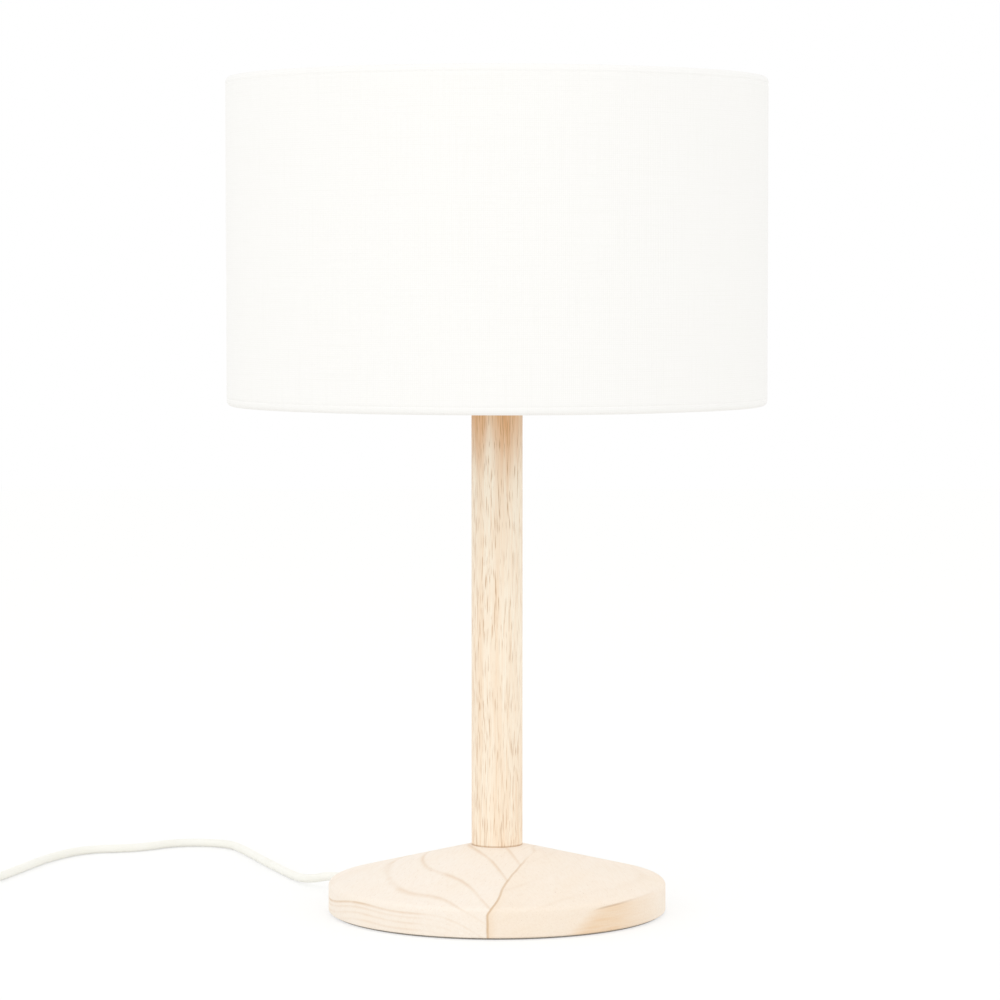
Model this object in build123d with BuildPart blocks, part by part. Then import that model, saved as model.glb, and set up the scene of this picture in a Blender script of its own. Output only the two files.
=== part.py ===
"""Table lamp: a turned wooden stand, a drum shade on a screwed ring, an LED bulb and a mains lead.

Millimetres, +Z up. The origin is on the floor, under the lamp's axis. The front of the lamp faces -Y.
"""

import os
from math import atan2, cos, degrees, hypot, pi, radians, sin, sqrt, tan

from build123d import *

# Stand: a flat pad, a shallow turned cone and a round column
base_diameter = 189.0
base_side_height = 16.0
base_cone_rise = 20.5
base_edge_round = 3.0
base_bottom_round = 0.8
base_pocket_diameter = 64.0
base_pocket_depth = 25.0
pad_thickness = 1.0
pad_inset = 2.0
column_diameter = 28.5
column_length = 254.5
column_socket_depth = 2.0
column_top_chamfer = 1.0

# Threaded tube through the column, with its nuts and washers
tube_diameter = 10.0
tube_bore = 7.5
base_washer_diameter = 30.0
top_washer_diameter = 24.0
washer_thickness = 1.5
base_nut_wall = 3.5
base_nut_height = 5.0
top_nut_wall = 2.0
top_nut_height = 3.0
tube_end_below_nut = 0.5

# Lampholder
holder_diameter = 41.0
holder_wall = 2.5
holder_boss_diameter = 18.0
holder_boss_height = 6.0
holder_shoulder_height = 6.0
block_height = 12.0
block_ceiling = 6.0
block_wall = 3.6
skirt_thread_diameter = 39.5
skirt_flange_overlap = 2.0
skirt_flange_height = 2.5
skirt_height = 26.5
skirt_relief_margin = 1.0
lock_screw_diameter = 3.0
lock_screw_height = 3.0
lock_screw_slot = 0.6
contact_thickness = 0.5
contact_width = 5.0
contact_rise = 2.1
contact_run = 2.2
contact_tip_reach = 3.0
side_contact_height = 6.5
terminal_offset = 9.0
terminal_end = 2.5
terminal_screw_diameter = 3.0
terminal_head_diameter = 5.2
terminal_head_height = 1.8
wire_diameter = 1.8
wire_spread = 2.2
wire_bend = 2.0
cord_end_below_floor = 0.5

# Shade: fabric on a styrene liner, two wire rings and a three-armed fitter
shade_diameter = 300.0
shade_height = 181.0
fabric_thickness = 0.6
liner_thickness = 0.5
frame_wire_diameter = 3.0
hem_leg = 7.0
hem_notch_margin = 1.4
fitter_width = 8.5
fitter_thickness = 2.0
fitter_recess = 37.0
arm_count = 3
first_arm_angle = 30.0
arm_weld_depth = 1.0
ring_height = 10.0
ring_wall = 3.4
ring_flange_width = 2.5
ring_flange_height = 2.5
ring_groove_count = 24
ring_groove_radius = 0.8

# LED bulb with a screw cap
bulb_length = 108.0
bulb_globe_diameter = 60.0
bulb_globe_wall = 1.2
bulb_cap_diameter = 26.4
bulb_cap_length = 20.0
bulb_cap_wall = 1.7
bulb_thread_depth = 0.6
bulb_thread_count = 5
bulb_tip_diameter = 9.0
bulb_tip_height = 1.2
bulb_insulator_height = 3.8
bulb_insulator_foot = 12.0
bulb_globe_drop = 17.0
bulb_body_overhang = 1.3
bulb_body_wall = 2.4
bulb_body_rim = 5.0
bulb_ledge_depth = 2.5
bulb_ledge_width = 2.0
bulb_board_thickness = 1.2
bulb_emitter_margin = 4.4
bulb_emitter_width = 10.0
bulb_emitter_thickness = 0.8
bulb_driver_thickness = 1.6
bulb_driver_seat = 0.6

# Mains lead
cord_diameter = 5.0
exit_height = 8.5
exit_angle = 35.0
cord_bend_margin = 0.5
bush_length_inside = 12.0
bush_flange_width = 2.3
bush_flange_thickness = 2.0
bush_snout_length = 10.0
bush_root_wall = 1.75
bush_tip_wall = 0.85

# In-line switch on the lead
switch_heading = 252.8
switch_length = 60.0
switch_width = 24.0
switch_height = 15.0
switch_split = 6.5
switch_corner = 8.0
switch_top_round = 3.0
switch_bottom_round = 1.5
switch_floor = 1.8
switch_roof = 2.0
switch_end_wall = 10.0
switch_side_wall = 3.5
switch_cavity_corner = 3.0
switch_cord_depth = 4.0
switch_screw_inset = 6.0
switch_screw_diameter = 2.8
switch_head_diameter = 5.2
switch_head_height = 1.8
switch_screw_cover = 3.0
rocker_length = 18.0
rocker_width = 11.4
rocker_end_height = 4.5
rocker_middle_height = 3.4
rocker_shoulder = 1.2
rocker_foot_length = 10.0
rocker_foot_depth = 3.2
rocker_pivot_depth = 4.0
rocker_tilt = 11.0
rocker_pin_diameter = 2.0
rocker_pin_grip = 1.0
switch_contact_length = 10.0
switch_contact_width = 4.0
switch_contact_thickness = 0.8
switch_contact_gap = 16.0
switch_contact_height = 4.4

# Coil of the spare lead, wound in two layers, with its tie
coil_mean_diameter = 58.0
coil_turns_in_layer = 3
coil_turn_gap = 0.7
coil_layer_gap = 0.6
coil_from_switch = 45.0
tie_width = 4.0
tie_thickness = 0.7
tie_corner = 3.0
tie_twist_length = 10.0
tie_twist_diameter = 2.0

# Two-pin plug
plug_width = 34.0
plug_thickness = 13.6
plug_corner = 5.0
plug_front_length = 12.0
plug_taper_length = 14.0
plug_neck_width = 14.0
plug_neck_thickness = 10.0
plug_neck_corner = 3.0
plug_snout_length = 20.0
plug_root_wall = 1.95
plug_tip_wall = 0.75
plug_cord_depth = 4.0
plug_pin_diameter = 4.0
plug_pin_length = 19.0
plug_pin_root = 8.0
plug_pin_root_diameter = 3.2
plug_pin_spacing = 18.6
plug_pin_chamfer = 0.8

# Clearances
socket_clearance = 0.1
thread_clearance = 0.1
bore_clearance = 0.5
hole_clearance = 0.1
turning_clearance = 0.3
cord_clearance = 0.15
cord_hole_clearance = 1.7
glue_gap = 0.1
hem_clearance = 0.6
contact_gap = 0.2
tie_clearance = 0.4
floor_gap = 0.1

# Radii and levels of the stand, from the floor up
base_radius = base_diameter / 2
column_radius = column_diameter / 2
socket_radius = column_radius + socket_clearance
tube_radius = tube_diameter / 2
tube_hole_radius = tube_radius + bore_clearance
threaded_hole_radius = tube_radius + thread_clearance
pocket_radius = base_pocket_diameter / 2
base_bottom = pad_thickness
side_top = base_bottom + base_side_height
base_top = side_top + base_cone_rise
pocket_top = base_bottom + base_pocket_depth
socket_floor = base_top - column_socket_depth
column_top = socket_floor + column_length
base_nut_bottom = pocket_top - washer_thickness - base_nut_height
tube_bottom = base_nut_bottom - tube_end_below_nut
top_nut_bottom = column_top + washer_thickness

# Radii and levels of the lampholder
holder_bottom = top_nut_bottom + top_nut_height
holder_floor = holder_bottom + holder_boss_height + holder_shoulder_height
holder_rim = holder_floor + block_height
holder_radius = holder_diameter / 2
holder_inner_radius = holder_radius - holder_wall
block_radius = holder_inner_radius - turning_clearance
skirt_radius = skirt_thread_diameter / 2
skirt_top = holder_rim + skirt_height
skirt_relief_top = holder_rim + side_contact_height + skirt_relief_margin
bulb_cap_radius = bulb_cap_diameter / 2
bulb_bore_radius = bulb_cap_radius + turning_clearance
side_blade_inner = bulb_cap_radius + turning_clearance
side_blade_outer = side_blade_inner + contact_thickness
skirt_relief_radius = sqrt(side_blade_outer**2 + contact_width**2 / 4) + turning_clearance

# Radii and levels of the shade
fitter_level = holder_rim + skirt_flange_height
fitter_inner_radius = skirt_radius + turning_clearance + bore_clearance
fitter_outer_radius = fitter_inner_radius + fitter_width
skirt_flange_radius = fitter_inner_radius + skirt_flange_overlap
ring_level = fitter_level + fitter_thickness
ring_inner_radius = skirt_radius + turning_clearance
ring_outer_radius = ring_inner_radius + ring_wall
shade_radius = shade_diameter / 2
shade_bottom = fitter_level - fitter_recess
shade_top = shade_bottom + shade_height
frame_wire_radius = frame_wire_diameter / 2
hem_inner_roll = frame_wire_radius + hem_clearance
hem_roll = hem_inner_roll + fabric_thickness
hem_centre = shade_radius - hem_roll
low_wire_level = shade_bottom + hem_roll
high_wire_level = shade_top - hem_roll

# Levels of the bulb
contact_top = holder_rim + contact_rise + contact_thickness
bulb_bottom = contact_top + contact_gap
bulb_insulator_bottom = bulb_bottom + bulb_tip_height
bulb_cap_bottom = bulb_insulator_bottom + bulb_insulator_height
bulb_body_bottom = bulb_cap_bottom + bulb_cap_length
bulb_globe_radius = bulb_globe_diameter / 2
bulb_centre = bulb_bottom + bulb_length - bulb_globe_radius
bulb_body_top = bulb_centre - bulb_globe_drop
bulb_ledge = bulb_body_top - bulb_ledge_depth

# The lead leaves the base at the back left, straight out of the wall
cord_radius = cord_diameter / 2
cord_mouth_radius = cord_radius + cord_clearance
cord_hole_radius = cord_radius + cord_hole_clearance
lie = cord_radius + floor_gap
arc_share = 0.45
upward = Vector(0, 0, 1)
exit_direction = Vector(-cos(radians(exit_angle)), sin(radians(exit_angle)), 0)
exit_point = exit_direction * base_radius + upward * exit_height
nose_point = exit_point + exit_direction * bush_snout_length


def turned(corners):
    """Solid of revolution about the lamp's axis, from (radius, height) corners."""
    with BuildPart() as piece:
        with BuildSketch(Plane.XZ):
            with BuildLine():
                Polyline(*corners, close=True)
            make_face()
        revolve(axis=Axis.Z)
    return piece


def ring(inner_radius, outer_radius, bottom, height):
    """Plain ring about the lamp's axis."""
    with BuildPart() as piece:
        with BuildSketch(Plane.XY.offset(bottom)):
            Circle(outer_radius)
            Circle(inner_radius, mode=Mode.SUBTRACT)
        extrude(amount=height)
    return piece


def hex_nut(wall, bottom, height):
    """Hexagon nut on the threaded tube."""
    with BuildPart() as piece:
        with BuildSketch(Plane.XY.offset(bottom)):
            RegularPolygon(tube_radius + wall, 6, major_radius=False)
            Circle(threaded_hole_radius, mode=Mode.SUBTRACT)
        extrude(amount=height)
    return piece


def headed_screw(foot, direction, head_diameter, head_height, shank_diameter, shank_length):
    """Screw with a round head that starts at foot and a shank that runs on along direction."""
    with BuildPart() as piece:
        with BuildSketch(Plane(origin=foot, z_dir=direction)):
            Circle(head_diameter / 2)
        extrude(amount=head_height)
        with BuildSketch(Plane(origin=foot + direction * head_height, z_dir=direction)):
            Circle(shank_diameter / 2)
        extrude(amount=shank_length)
    return piece


def swept_tube(points, radii, tube_section):
    """Round tube along straight runs that tangent arcs join."""
    with BuildPart() as piece:
        with BuildLine():
            FilletPolyline(*points, radius=radii)
        with BuildSketch(Plane(origin=points[0], z_dir=points[1] - points[0])):
            Circle(tube_section)
        sweep()
    return piece


def bend_radii(points):
    """Arc at each inner point of a route, as large as the shorter run beside it allows."""
    radii = []
    for before, point, after in zip(points, points[1:], points[2:]):
        run_in = point - before
        run_out = after - point
        half_turn = radians(run_in.get_angle(run_out)) / 2
        radii.append(arc_share * min(run_in.length, run_out.length) / tan(half_turn))
    return radii


def cord_tube(name, points):
    """Free stretch of the lead along a route, with its radii and its volume printed."""
    radii = bend_radii(points)
    piece = swept_tube(points, radii, cord_radius)
    with BuildLine() as path:
        FilletPolyline(*points, radius=radii)
    length = path.wires()[0].length
    share = piece.part.volume / (pi * cord_radius**2 * length)
    print(name, "length", round(length, 1), "volume over section times length", round(share, 5))
    print("  radii", [round(radius, 1) for radius in radii])
    return piece, length


# Pad under the base
with BuildPart() as base_pad:
    with BuildSketch():
        Circle(base_radius - pad_inset)
    extrude(amount=pad_thickness)

# Turned base: vertical side, shallow cone, socket for the column, pocket and cord hole below
with BuildPart() as turned_base:
    with BuildSketch(Plane.XZ):
        with BuildLine():
            Polyline(
                (pocket_radius, base_bottom),
                (base_radius, base_bottom),
                (base_radius, side_top),
                (socket_radius, base_top),
                (socket_radius, socket_floor),
                (tube_hole_radius, socket_floor),
                (tube_hole_radius, pocket_top),
                (pocket_radius, pocket_top),
                close=True,
            )
        make_face()
    revolve(axis=Axis.Z)
    widest_edges = turned_base.edges().filter_by(GeomType.CIRCLE).group_by(SortBy.RADIUS)[-1]
    fillet(widest_edges.sort_by(Axis.Z)[-1], base_edge_round)
    widest_edges = turned_base.edges().filter_by(GeomType.CIRCLE).group_by(SortBy.RADIUS)[-1]
    fillet(widest_edges.sort_by(Axis.Z)[0], base_bottom_round)
    with BuildSketch(Plane(origin=(0, 0, exit_height), z_dir=exit_direction)):
        Circle(cord_hole_radius)
    extrude(amount=base_diameter, mode=Mode.SUBTRACT)

# Round column, bored for the threaded tube
with BuildPart() as column:
    with BuildSketch(Plane.XY.offset(socket_floor)):
        Circle(column_radius)
        Circle(tube_hole_radius, mode=Mode.SUBTRACT)
    extrude(amount=column_length)
    top_edges = column.edges().filter_by(GeomType.CIRCLE).group_by(Axis.Z)[-1]
    chamfer(top_edges.sort_by(SortBy.RADIUS)[-1], column_top_chamfer)

# Threaded tube, washers and nuts that pull the stand together
threaded_tube = ring(tube_bore / 2, tube_radius, tube_bottom, holder_floor - tube_bottom)
base_washer = ring(
    threaded_hole_radius, base_washer_diameter / 2, pocket_top - washer_thickness, washer_thickness
)
base_nut = hex_nut(base_nut_wall, base_nut_bottom, base_nut_height)
top_washer = ring(threaded_hole_radius, top_washer_diameter / 2, column_top, washer_thickness)
top_nut = hex_nut(top_nut_wall, top_nut_bottom, top_nut_height)

# Bush where the lead leaves the base: a barrel in the hole, a flange and a tapered snout
with BuildPart() as cord_bush:
    with BuildSketch(Plane(origin=exit_point, x_dir=exit_direction, z_dir=exit_direction.cross(upward))):
        with BuildLine():
            Polyline(
                (-bush_length_inside, cord_mouth_radius),
                (-bush_length_inside, cord_hole_radius - cord_clearance),
                (0, cord_hole_radius - cord_clearance),
                (0, cord_hole_radius + bush_flange_width),
                (bush_flange_thickness, cord_hole_radius + bush_flange_width),
                (bush_flange_thickness, cord_mouth_radius + bush_root_wall),
                (bush_snout_length, cord_mouth_radius + bush_tip_wall),
                (bush_snout_length, cord_mouth_radius),
                close=True,
            )
        make_face()
    revolve(axis=Axis(exit_point, exit_direction))

# Lead inside the stand: through the bush, round one bend and up the tube
cord_top = holder_floor - cord_end_below_floor
inner_bend = tube_bottom - exit_height - cord_bend_margin
inner_cord = swept_tube([nose_point, upward * exit_height, upward * cord_top], inner_bend, cord_radius)

# Lampholder cap, clamped on the tube by a grub screw
with BuildPart() as lampholder_cap:
    with BuildSketch(Plane.XZ):
        with BuildLine():
            Polyline(
                (threaded_hole_radius, holder_bottom),
                (holder_boss_diameter / 2, holder_bottom),
                (holder_boss_diameter / 2, holder_bottom + holder_boss_height),
                (holder_radius, holder_floor),
                (holder_radius, holder_rim),
                (holder_inner_radius, holder_rim),
                (holder_inner_radius, holder_floor),
                (threaded_hole_radius, holder_floor),
                close=True,
            )
        make_face()
    revolve(axis=Axis.Z)
    with BuildSketch(Plane(origin=(0, 0, holder_bottom + lock_screw_height), z_dir=(0, 1, 0))):
        Circle(lock_screw_diameter / 2 + hole_clearance)
    extrude(amount=holder_radius, mode=Mode.SUBTRACT)

with BuildPart() as cap_lock_screw:
    lock_plane = Plane(
        origin=(0, tube_radius + hole_clearance, holder_bottom + lock_screw_height), z_dir=(0, 1, 0)
    )
    lock_length = holder_boss_diameter / 2 - tube_radius
    with BuildSketch(lock_plane):
        Circle(lock_screw_diameter / 2)
    extrude(amount=lock_length)
    with BuildSketch(lock_plane.offset(lock_length - lock_screw_slot)):
        Rectangle(lock_screw_slot, lock_screw_diameter)
    extrude(amount=lock_screw_slot, mode=Mode.SUBTRACT)

# Terminal block: an inverted cup over the wires, drilled for two screws
with BuildPart() as terminal_block:
    with BuildSketch(Plane.XZ):
        with BuildLine():
            Polyline(
                (block_radius - block_wall, holder_floor),
                (block_radius, holder_floor),
                (block_radius, holder_rim),
                (0, holder_rim),
                (0, holder_floor + block_ceiling),
                (block_radius - block_wall, holder_floor + block_ceiling),
                close=True,
            )
        make_face()
    revolve(axis=Axis.Z)
    with BuildSketch(Plane.XY.offset(holder_floor)):
        with Locations((-terminal_offset, 0), (terminal_offset, 0)):
            Circle(terminal_screw_diameter / 2 + hole_clearance)
    extrude(amount=block_height, mode=Mode.SUBTRACT)

# Sprung centre contact, from its screw to the tip under the bulb
with BuildPart() as centre_contact:
    foot_end = -terminal_offset + terminal_end + terminal_screw_diameter / 2
    with BuildSketch(Plane.XZ.offset(-contact_width / 2)):
        with BuildLine():
            Polyline(
                (-terminal_offset - terminal_end, holder_rim),
                (foot_end, holder_rim),
                (foot_end + contact_run, holder_rim + contact_rise),
                (contact_tip_reach, holder_rim + contact_rise),
                (contact_tip_reach, contact_top),
                (foot_end + contact_run - contact_thickness, contact_top),
                (foot_end - contact_thickness, holder_rim + contact_thickness),
                (-terminal_offset - terminal_end, holder_rim + contact_thickness),
                close=True,
            )
        make_face()
    extrude(amount=contact_width)
    with BuildSketch(Plane.XY.offset(holder_rim)):
        with Locations((-terminal_offset, 0)):
            Circle(terminal_screw_diameter / 2 + hole_clearance)
    extrude(amount=contact_thickness, mode=Mode.SUBTRACT)

# Side contact, an angle strip whose blade stands beside the bulb's cap
with BuildPart() as side_contact:
    with BuildSketch(Plane.XZ.offset(-contact_width / 2)):
        with BuildLine():
            Polyline(
                (terminal_offset - terminal_end, holder_rim),
                (side_blade_outer, holder_rim),
                (side_blade_outer, holder_rim + side_contact_height),
                (side_blade_inner, holder_rim + side_contact_height),
                (side_blade_inner, holder_rim + contact_thickness),
                (terminal_offset - terminal_end, holder_rim + contact_thickness),
                close=True,
            )
        make_face()
    extrude(amount=contact_width)
    with BuildSketch(Plane.XY.offset(holder_rim)):
        with Locations((terminal_offset, 0)):
            Circle(terminal_screw_diameter / 2 + hole_clearance)
    extrude(amount=contact_thickness, mode=Mode.SUBTRACT)

# A screw and a wire for each contact
terminal_screws = []
terminal_wires = []
head_level = holder_floor + block_ceiling - terminal_head_height
wire_level = head_level - wire_diameter / 2 - hole_clearance
for side in (-1, 1):
    terminal_screws.append(
        headed_screw(
            Vector(side * terminal_offset, 0, head_level),
            Vector(0, 0, 1),
            terminal_head_diameter,
            terminal_head_height,
            terminal_screw_diameter,
            holder_rim + contact_thickness - holder_floor - block_ceiling,
        )
    )
    terminal_wires.append(
        swept_tube(
            [
                Vector(side * wire_spread / 2, 0, cord_top),
                Vector(side * wire_spread / 2, 0, wire_level),
                Vector(side * terminal_offset, 0, wire_level),
            ],
            wire_bend,
            wire_diameter / 2,
        )
    )

# Lampholder skirt: a flange that carries the shade, and the thread for its ring
lampholder_skirt = turned(
    [
        (skirt_relief_radius, holder_rim),
        (skirt_flange_radius, holder_rim),
        (skirt_flange_radius, fitter_level),
        (skirt_radius, fitter_level),
        (skirt_radius, skirt_top),
        (bulb_bore_radius, skirt_top),
        (bulb_bore_radius, skirt_relief_top),
        (skirt_relief_radius, skirt_relief_top),
    ]
)

# Shade ring that clamps the fitter, with finger grooves
with BuildPart() as shade_ring:
    with BuildSketch(Plane.XZ):
        with BuildLine():
            Polyline(
                (ring_inner_radius, ring_level),
                (ring_outer_radius + ring_flange_width, ring_level),
                (ring_outer_radius + ring_flange_width, ring_level + ring_flange_height),
                (ring_outer_radius, ring_level + ring_flange_height),
                (ring_outer_radius, ring_level + ring_height),
                (ring_inner_radius, ring_level + ring_height),
                close=True,
            )
        make_face()
    revolve(axis=Axis.Z)
    with BuildSketch(Plane.XY.offset(ring_level + ring_flange_height)):
        with PolarLocations(ring_outer_radius, ring_groove_count):
            Circle(ring_groove_radius)
    extrude(amount=ring_height - ring_flange_height, mode=Mode.SUBTRACT)

# Shade frame: the lower wire ring, the fitter and the arms between them, welded
arm_inner = fitter_outer_radius - arm_weld_depth
arm_level = fitter_level + fitter_thickness / 2
with BuildPart() as shade_frame:
    with Locations((0, 0, low_wire_level)):
        Torus(hem_centre, frame_wire_radius)
    with BuildSketch(Plane.XY.offset(fitter_level)):
        Circle(fitter_outer_radius)
        Circle(fitter_inner_radius, mode=Mode.SUBTRACT)
    extrude(amount=fitter_thickness)
    for arm in range(arm_count):
        arm_angle = radians(first_arm_angle + arm * 360 / arm_count)
        outward = Vector(cos(arm_angle), sin(arm_angle), 0)
        arm_start = outward * hem_centre + Vector(0, 0, low_wire_level)
        arm_end = outward * arm_inner + Vector(0, 0, arm_level)
        arm_run = arm_end - arm_start
        with BuildSketch(Plane(origin=arm_start, z_dir=arm_run)):
            Circle(frame_wire_radius)
        extrude(amount=arm_run.length)

with BuildPart() as shade_top_ring:
    with Locations((0, 0, high_wire_level)):
        Torus(hem_centre, frame_wire_radius)

# Styrene liner behind the fabric, between the two wire rings
liner_radius = shade_radius - fabric_thickness - glue_gap
liner_bottom = low_wire_level + frame_wire_radius + glue_gap
liner_top = high_wire_level - frame_wire_radius - glue_gap
shade_liner = ring(liner_radius - liner_thickness, liner_radius, liner_bottom, liner_top - liner_bottom)

# Shade fabric, rolled over both wires, with its inner hems notched where the arms pass
hem_inside = hem_centre - hem_roll
with BuildPart() as shade_fabric:
    with BuildSketch(Plane.XZ):
        with BuildLine():
            Line((shade_radius, low_wire_level), (shade_radius, high_wire_level))
            CenterArc((hem_centre, high_wire_level), hem_roll, 0, 180)
            Polyline(
                (hem_inside, high_wire_level),
                (hem_inside, high_wire_level - hem_leg),
                (hem_inside + fabric_thickness, high_wire_level - hem_leg),
                (hem_inside + fabric_thickness, high_wire_level),
            )
            CenterArc((hem_centre, high_wire_level), hem_inner_roll, 180, -180)
            Line(
                (shade_radius - fabric_thickness, high_wire_level),
                (shade_radius - fabric_thickness, low_wire_level),
            )
            CenterArc((hem_centre, low_wire_level), hem_inner_roll, 0, -180)
            Polyline(
                (hem_inside + fabric_thickness, low_wire_level),
                (hem_inside + fabric_thickness, low_wire_level + hem_leg),
                (hem_inside, low_wire_level + hem_leg),
                (hem_inside, low_wire_level),
            )
            CenterArc((hem_centre, low_wire_level), hem_roll, 180, 180)
        make_face()
    revolve(axis=Axis.Z)
    notch_bottom = low_wire_level - frame_wire_radius
    with BuildSketch(Plane.XY.offset(notch_bottom)):
        with PolarLocations(hem_inside, arm_count, start_angle=first_arm_angle):
            Rectangle(2 * hem_roll, frame_wire_diameter + 2 * hem_notch_margin)
    extrude(amount=hem_leg + 2 * frame_wire_radius, mode=Mode.SUBTRACT)

# Bulb: tip, insulator and threaded cap
bulb_contact = turned(
    [
        (0, bulb_bottom),
        (bulb_tip_diameter / 2, bulb_bottom),
        (bulb_tip_diameter / 2, bulb_insulator_bottom),
        (0, bulb_insulator_bottom),
    ]
)
thread_root = bulb_cap_radius - bulb_thread_depth
bulb_cap_insulator = turned(
    [
        (0, bulb_insulator_bottom),
        (bulb_insulator_foot / 2, bulb_insulator_bottom),
        (thread_root, bulb_cap_bottom),
        (0, bulb_cap_bottom),
    ]
)
cap_bore = bulb_cap_radius - bulb_cap_wall
thread_pitch = bulb_cap_length / bulb_thread_count
cap_outline = [(cap_bore, bulb_cap_bottom)]
for thread in range(bulb_thread_count):
    thread_bottom = bulb_cap_bottom + thread * thread_pitch
    cap_outline.append((thread_root, thread_bottom))
    cap_outline.append((bulb_cap_radius, thread_bottom + thread_pitch / 4))
    cap_outline.append((bulb_cap_radius, thread_bottom + thread_pitch * 3 / 4))
cap_outline.append((thread_root, bulb_body_bottom))
cap_outline.append((cap_bore, bulb_body_bottom))
bulb_cap = turned(cap_outline)

# Bulb body: a flared cup with a ledge for the LED board
globe_inner_radius = bulb_globe_radius - bulb_globe_wall
globe_foot = sqrt(bulb_globe_radius**2 - bulb_globe_drop**2)
globe_inner_foot = sqrt(globe_inner_radius**2 - bulb_globe_drop**2)
body_radius = globe_foot + turning_clearance
body_foot = bulb_cap_radius + bulb_body_overhang
body_inner_foot = cap_bore + bulb_driver_seat
rim_inner = body_radius - bulb_body_wall
ledge_inner = rim_inner - bulb_ledge_width
bulb_body = turned(
    [
        (cap_bore, bulb_body_bottom),
        (body_foot, bulb_body_bottom),
        (body_radius, bulb_body_top - bulb_body_rim),
        (body_radius, bulb_body_top),
        (rim_inner, bulb_body_top),
        (rim_inner, bulb_ledge),
        (ledge_inner, bulb_ledge),
        (ledge_inner, bulb_ledge - bulb_body_wall),
        (body_inner_foot, bulb_body_bottom + bulb_body_wall),
        (cap_bore, bulb_body_bottom + bulb_body_wall),
    ]
)

# Boards and light source inside the bulb
board_radius = rim_inner - hole_clearance
board_top = bulb_ledge + bulb_board_thickness
with BuildPart() as bulb_led_board:
    with BuildSketch(Plane.XY.offset(bulb_ledge)):
        Circle(board_radius)
    extrude(amount=bulb_board_thickness)
emitter_radius = board_radius - bulb_emitter_margin
bulb_emitter = ring(emitter_radius - bulb_emitter_width, emitter_radius, board_top, bulb_emitter_thickness)
driver_bottom = bulb_body_bottom + bulb_body_wall
driver_reach = body_inner_foot - hole_clearance
with BuildPart() as bulb_driver_board:
    with BuildSketch(Plane.XY.offset(driver_bottom)):
        Rectangle(2 * sqrt(driver_reach**2 - bulb_driver_thickness**2 / 4), bulb_driver_thickness)
    extrude(amount=bulb_ledge - driver_bottom)

# Opal globe, most of a sphere
with BuildPart() as bulb_globe:
    outer_start = degrees(atan2(-bulb_globe_drop, globe_foot))
    inner_start = degrees(atan2(-bulb_globe_drop, globe_inner_foot))
    with BuildSketch(Plane.XZ):
        with BuildLine():
            CenterArc((0, bulb_centre), bulb_globe_radius, outer_start, 90 - outer_start)
            Line((0, bulb_centre + bulb_globe_radius), (0, bulb_centre + globe_inner_radius))
            CenterArc((0, bulb_centre), globe_inner_radius, 90, inner_start - 90)
            Line((globe_inner_foot, bulb_body_top), (globe_foot, bulb_body_top))
        make_face()
    revolve(axis=Axis.Z)

# The lead's far end has its own directions: along it through the switch, and aside to its right
switch_inlet = Vector(-308, 50, 0)
along = Vector(1, 0, 0).rotate(Axis.Z, switch_heading)
aside = along.cross(upward)
switch_outlet = switch_inlet + along * switch_length
switch_middle = switch_inlet + along * (switch_length / 2)
cord_axis_lift = upward * switch_split

# Route of the lead over the floor, from the bush to the switch
lead_straight = 14.0
lead_end_straight = 16.0
lead_points = [
    nose_point,
    nose_point + exit_direction * lead_straight,
    Vector(-107.5, 79, 4.6),
    Vector(-117, 96, lie),
    Vector(-128, 124, lie),
    Vector(-141.5, 160, lie),
    Vector(-154, 196, lie),
    Vector(-167, 227, lie),
    Vector(-200, 231, lie),
    Vector(-222, 207, lie),
    Vector(-254, 203, lie),
    Vector(-273, 169, lie),
    Vector(-285, 125, lie),
    Vector(-294.5, 94, lie),
    switch_inlet - along * lead_end_straight + cord_axis_lift,
    switch_inlet + along * switch_cord_depth + cord_axis_lift,
]
cord_lead, lead_length = cord_tube("cord_lead", lead_points)

# Coil: one tube that spirals in along the floor and out again on a second layer
coil_pitch = cord_diameter + coil_turn_gap
coil_rise = cord_diameter + coil_layer_gap
coil_low = floor_gap + tie_thickness + tie_clearance + cord_radius
coil_high = coil_low + coil_rise
coil_half_quarters = 4 * coil_turns_in_layer + 1
coil_inner_radius = coil_mean_diameter / 2 - coil_pitch * coil_half_quarters / 8
coil_outer_radius = coil_inner_radius + coil_pitch * coil_half_quarters / 4
coil_centre = switch_outlet + along * coil_from_switch + aside * coil_outer_radius
coil_entry = switch_outlet + along * coil_from_switch + upward * coil_low
coil_exit = coil_centre + aside * coil_outer_radius + upward * coil_high


def coil_node(quarter):
    """Point and unit tangent of the coil, a count of quarter turns from where its spiral reverses."""
    angle = (quarter + coil_half_quarters) * pi / 2
    radial = aside * -cos(angle) + along * sin(angle)
    tangential = aside * sin(angle) + along * cos(angle)
    radius = coil_inner_radius + coil_pitch * abs(quarter) / 4
    climbed = min(max((quarter + 1) / 2, 0), 1)
    point = coil_centre + radial * radius + upward * (coil_low + coil_rise * climbed)
    spread = coil_pitch / (2 * pi)
    if quarter == 0 or abs(quarter) == coil_half_quarters:
        spread = 0
    if quarter < 0:
        spread = -spread
    slope = 0
    if quarter == 0:
        slope = coil_rise / pi
    if abs(quarter) == 1:
        slope = coil_rise / (2 * pi)
    return point, (radial * spread + tangential * radius + upward * slope).normalized()


def biarc_middle(start, start_tangent, end, end_tangent):
    """Point and tangent where the two arcs of a biarc meet."""
    span = end - start
    lean = span.dot(start_tangent + end_tangent)
    turn = 2 * (1 - start_tangent.dot(end_tangent))
    reach = (sqrt(lean**2 + turn * span.dot(span)) - lean) / turn
    middle = (start + end + (start_tangent - end_tangent) * reach) / 2
    tangent = (end - end_tangent * reach) - (start + start_tangent * reach)
    return middle, tangent.normalized()


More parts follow.
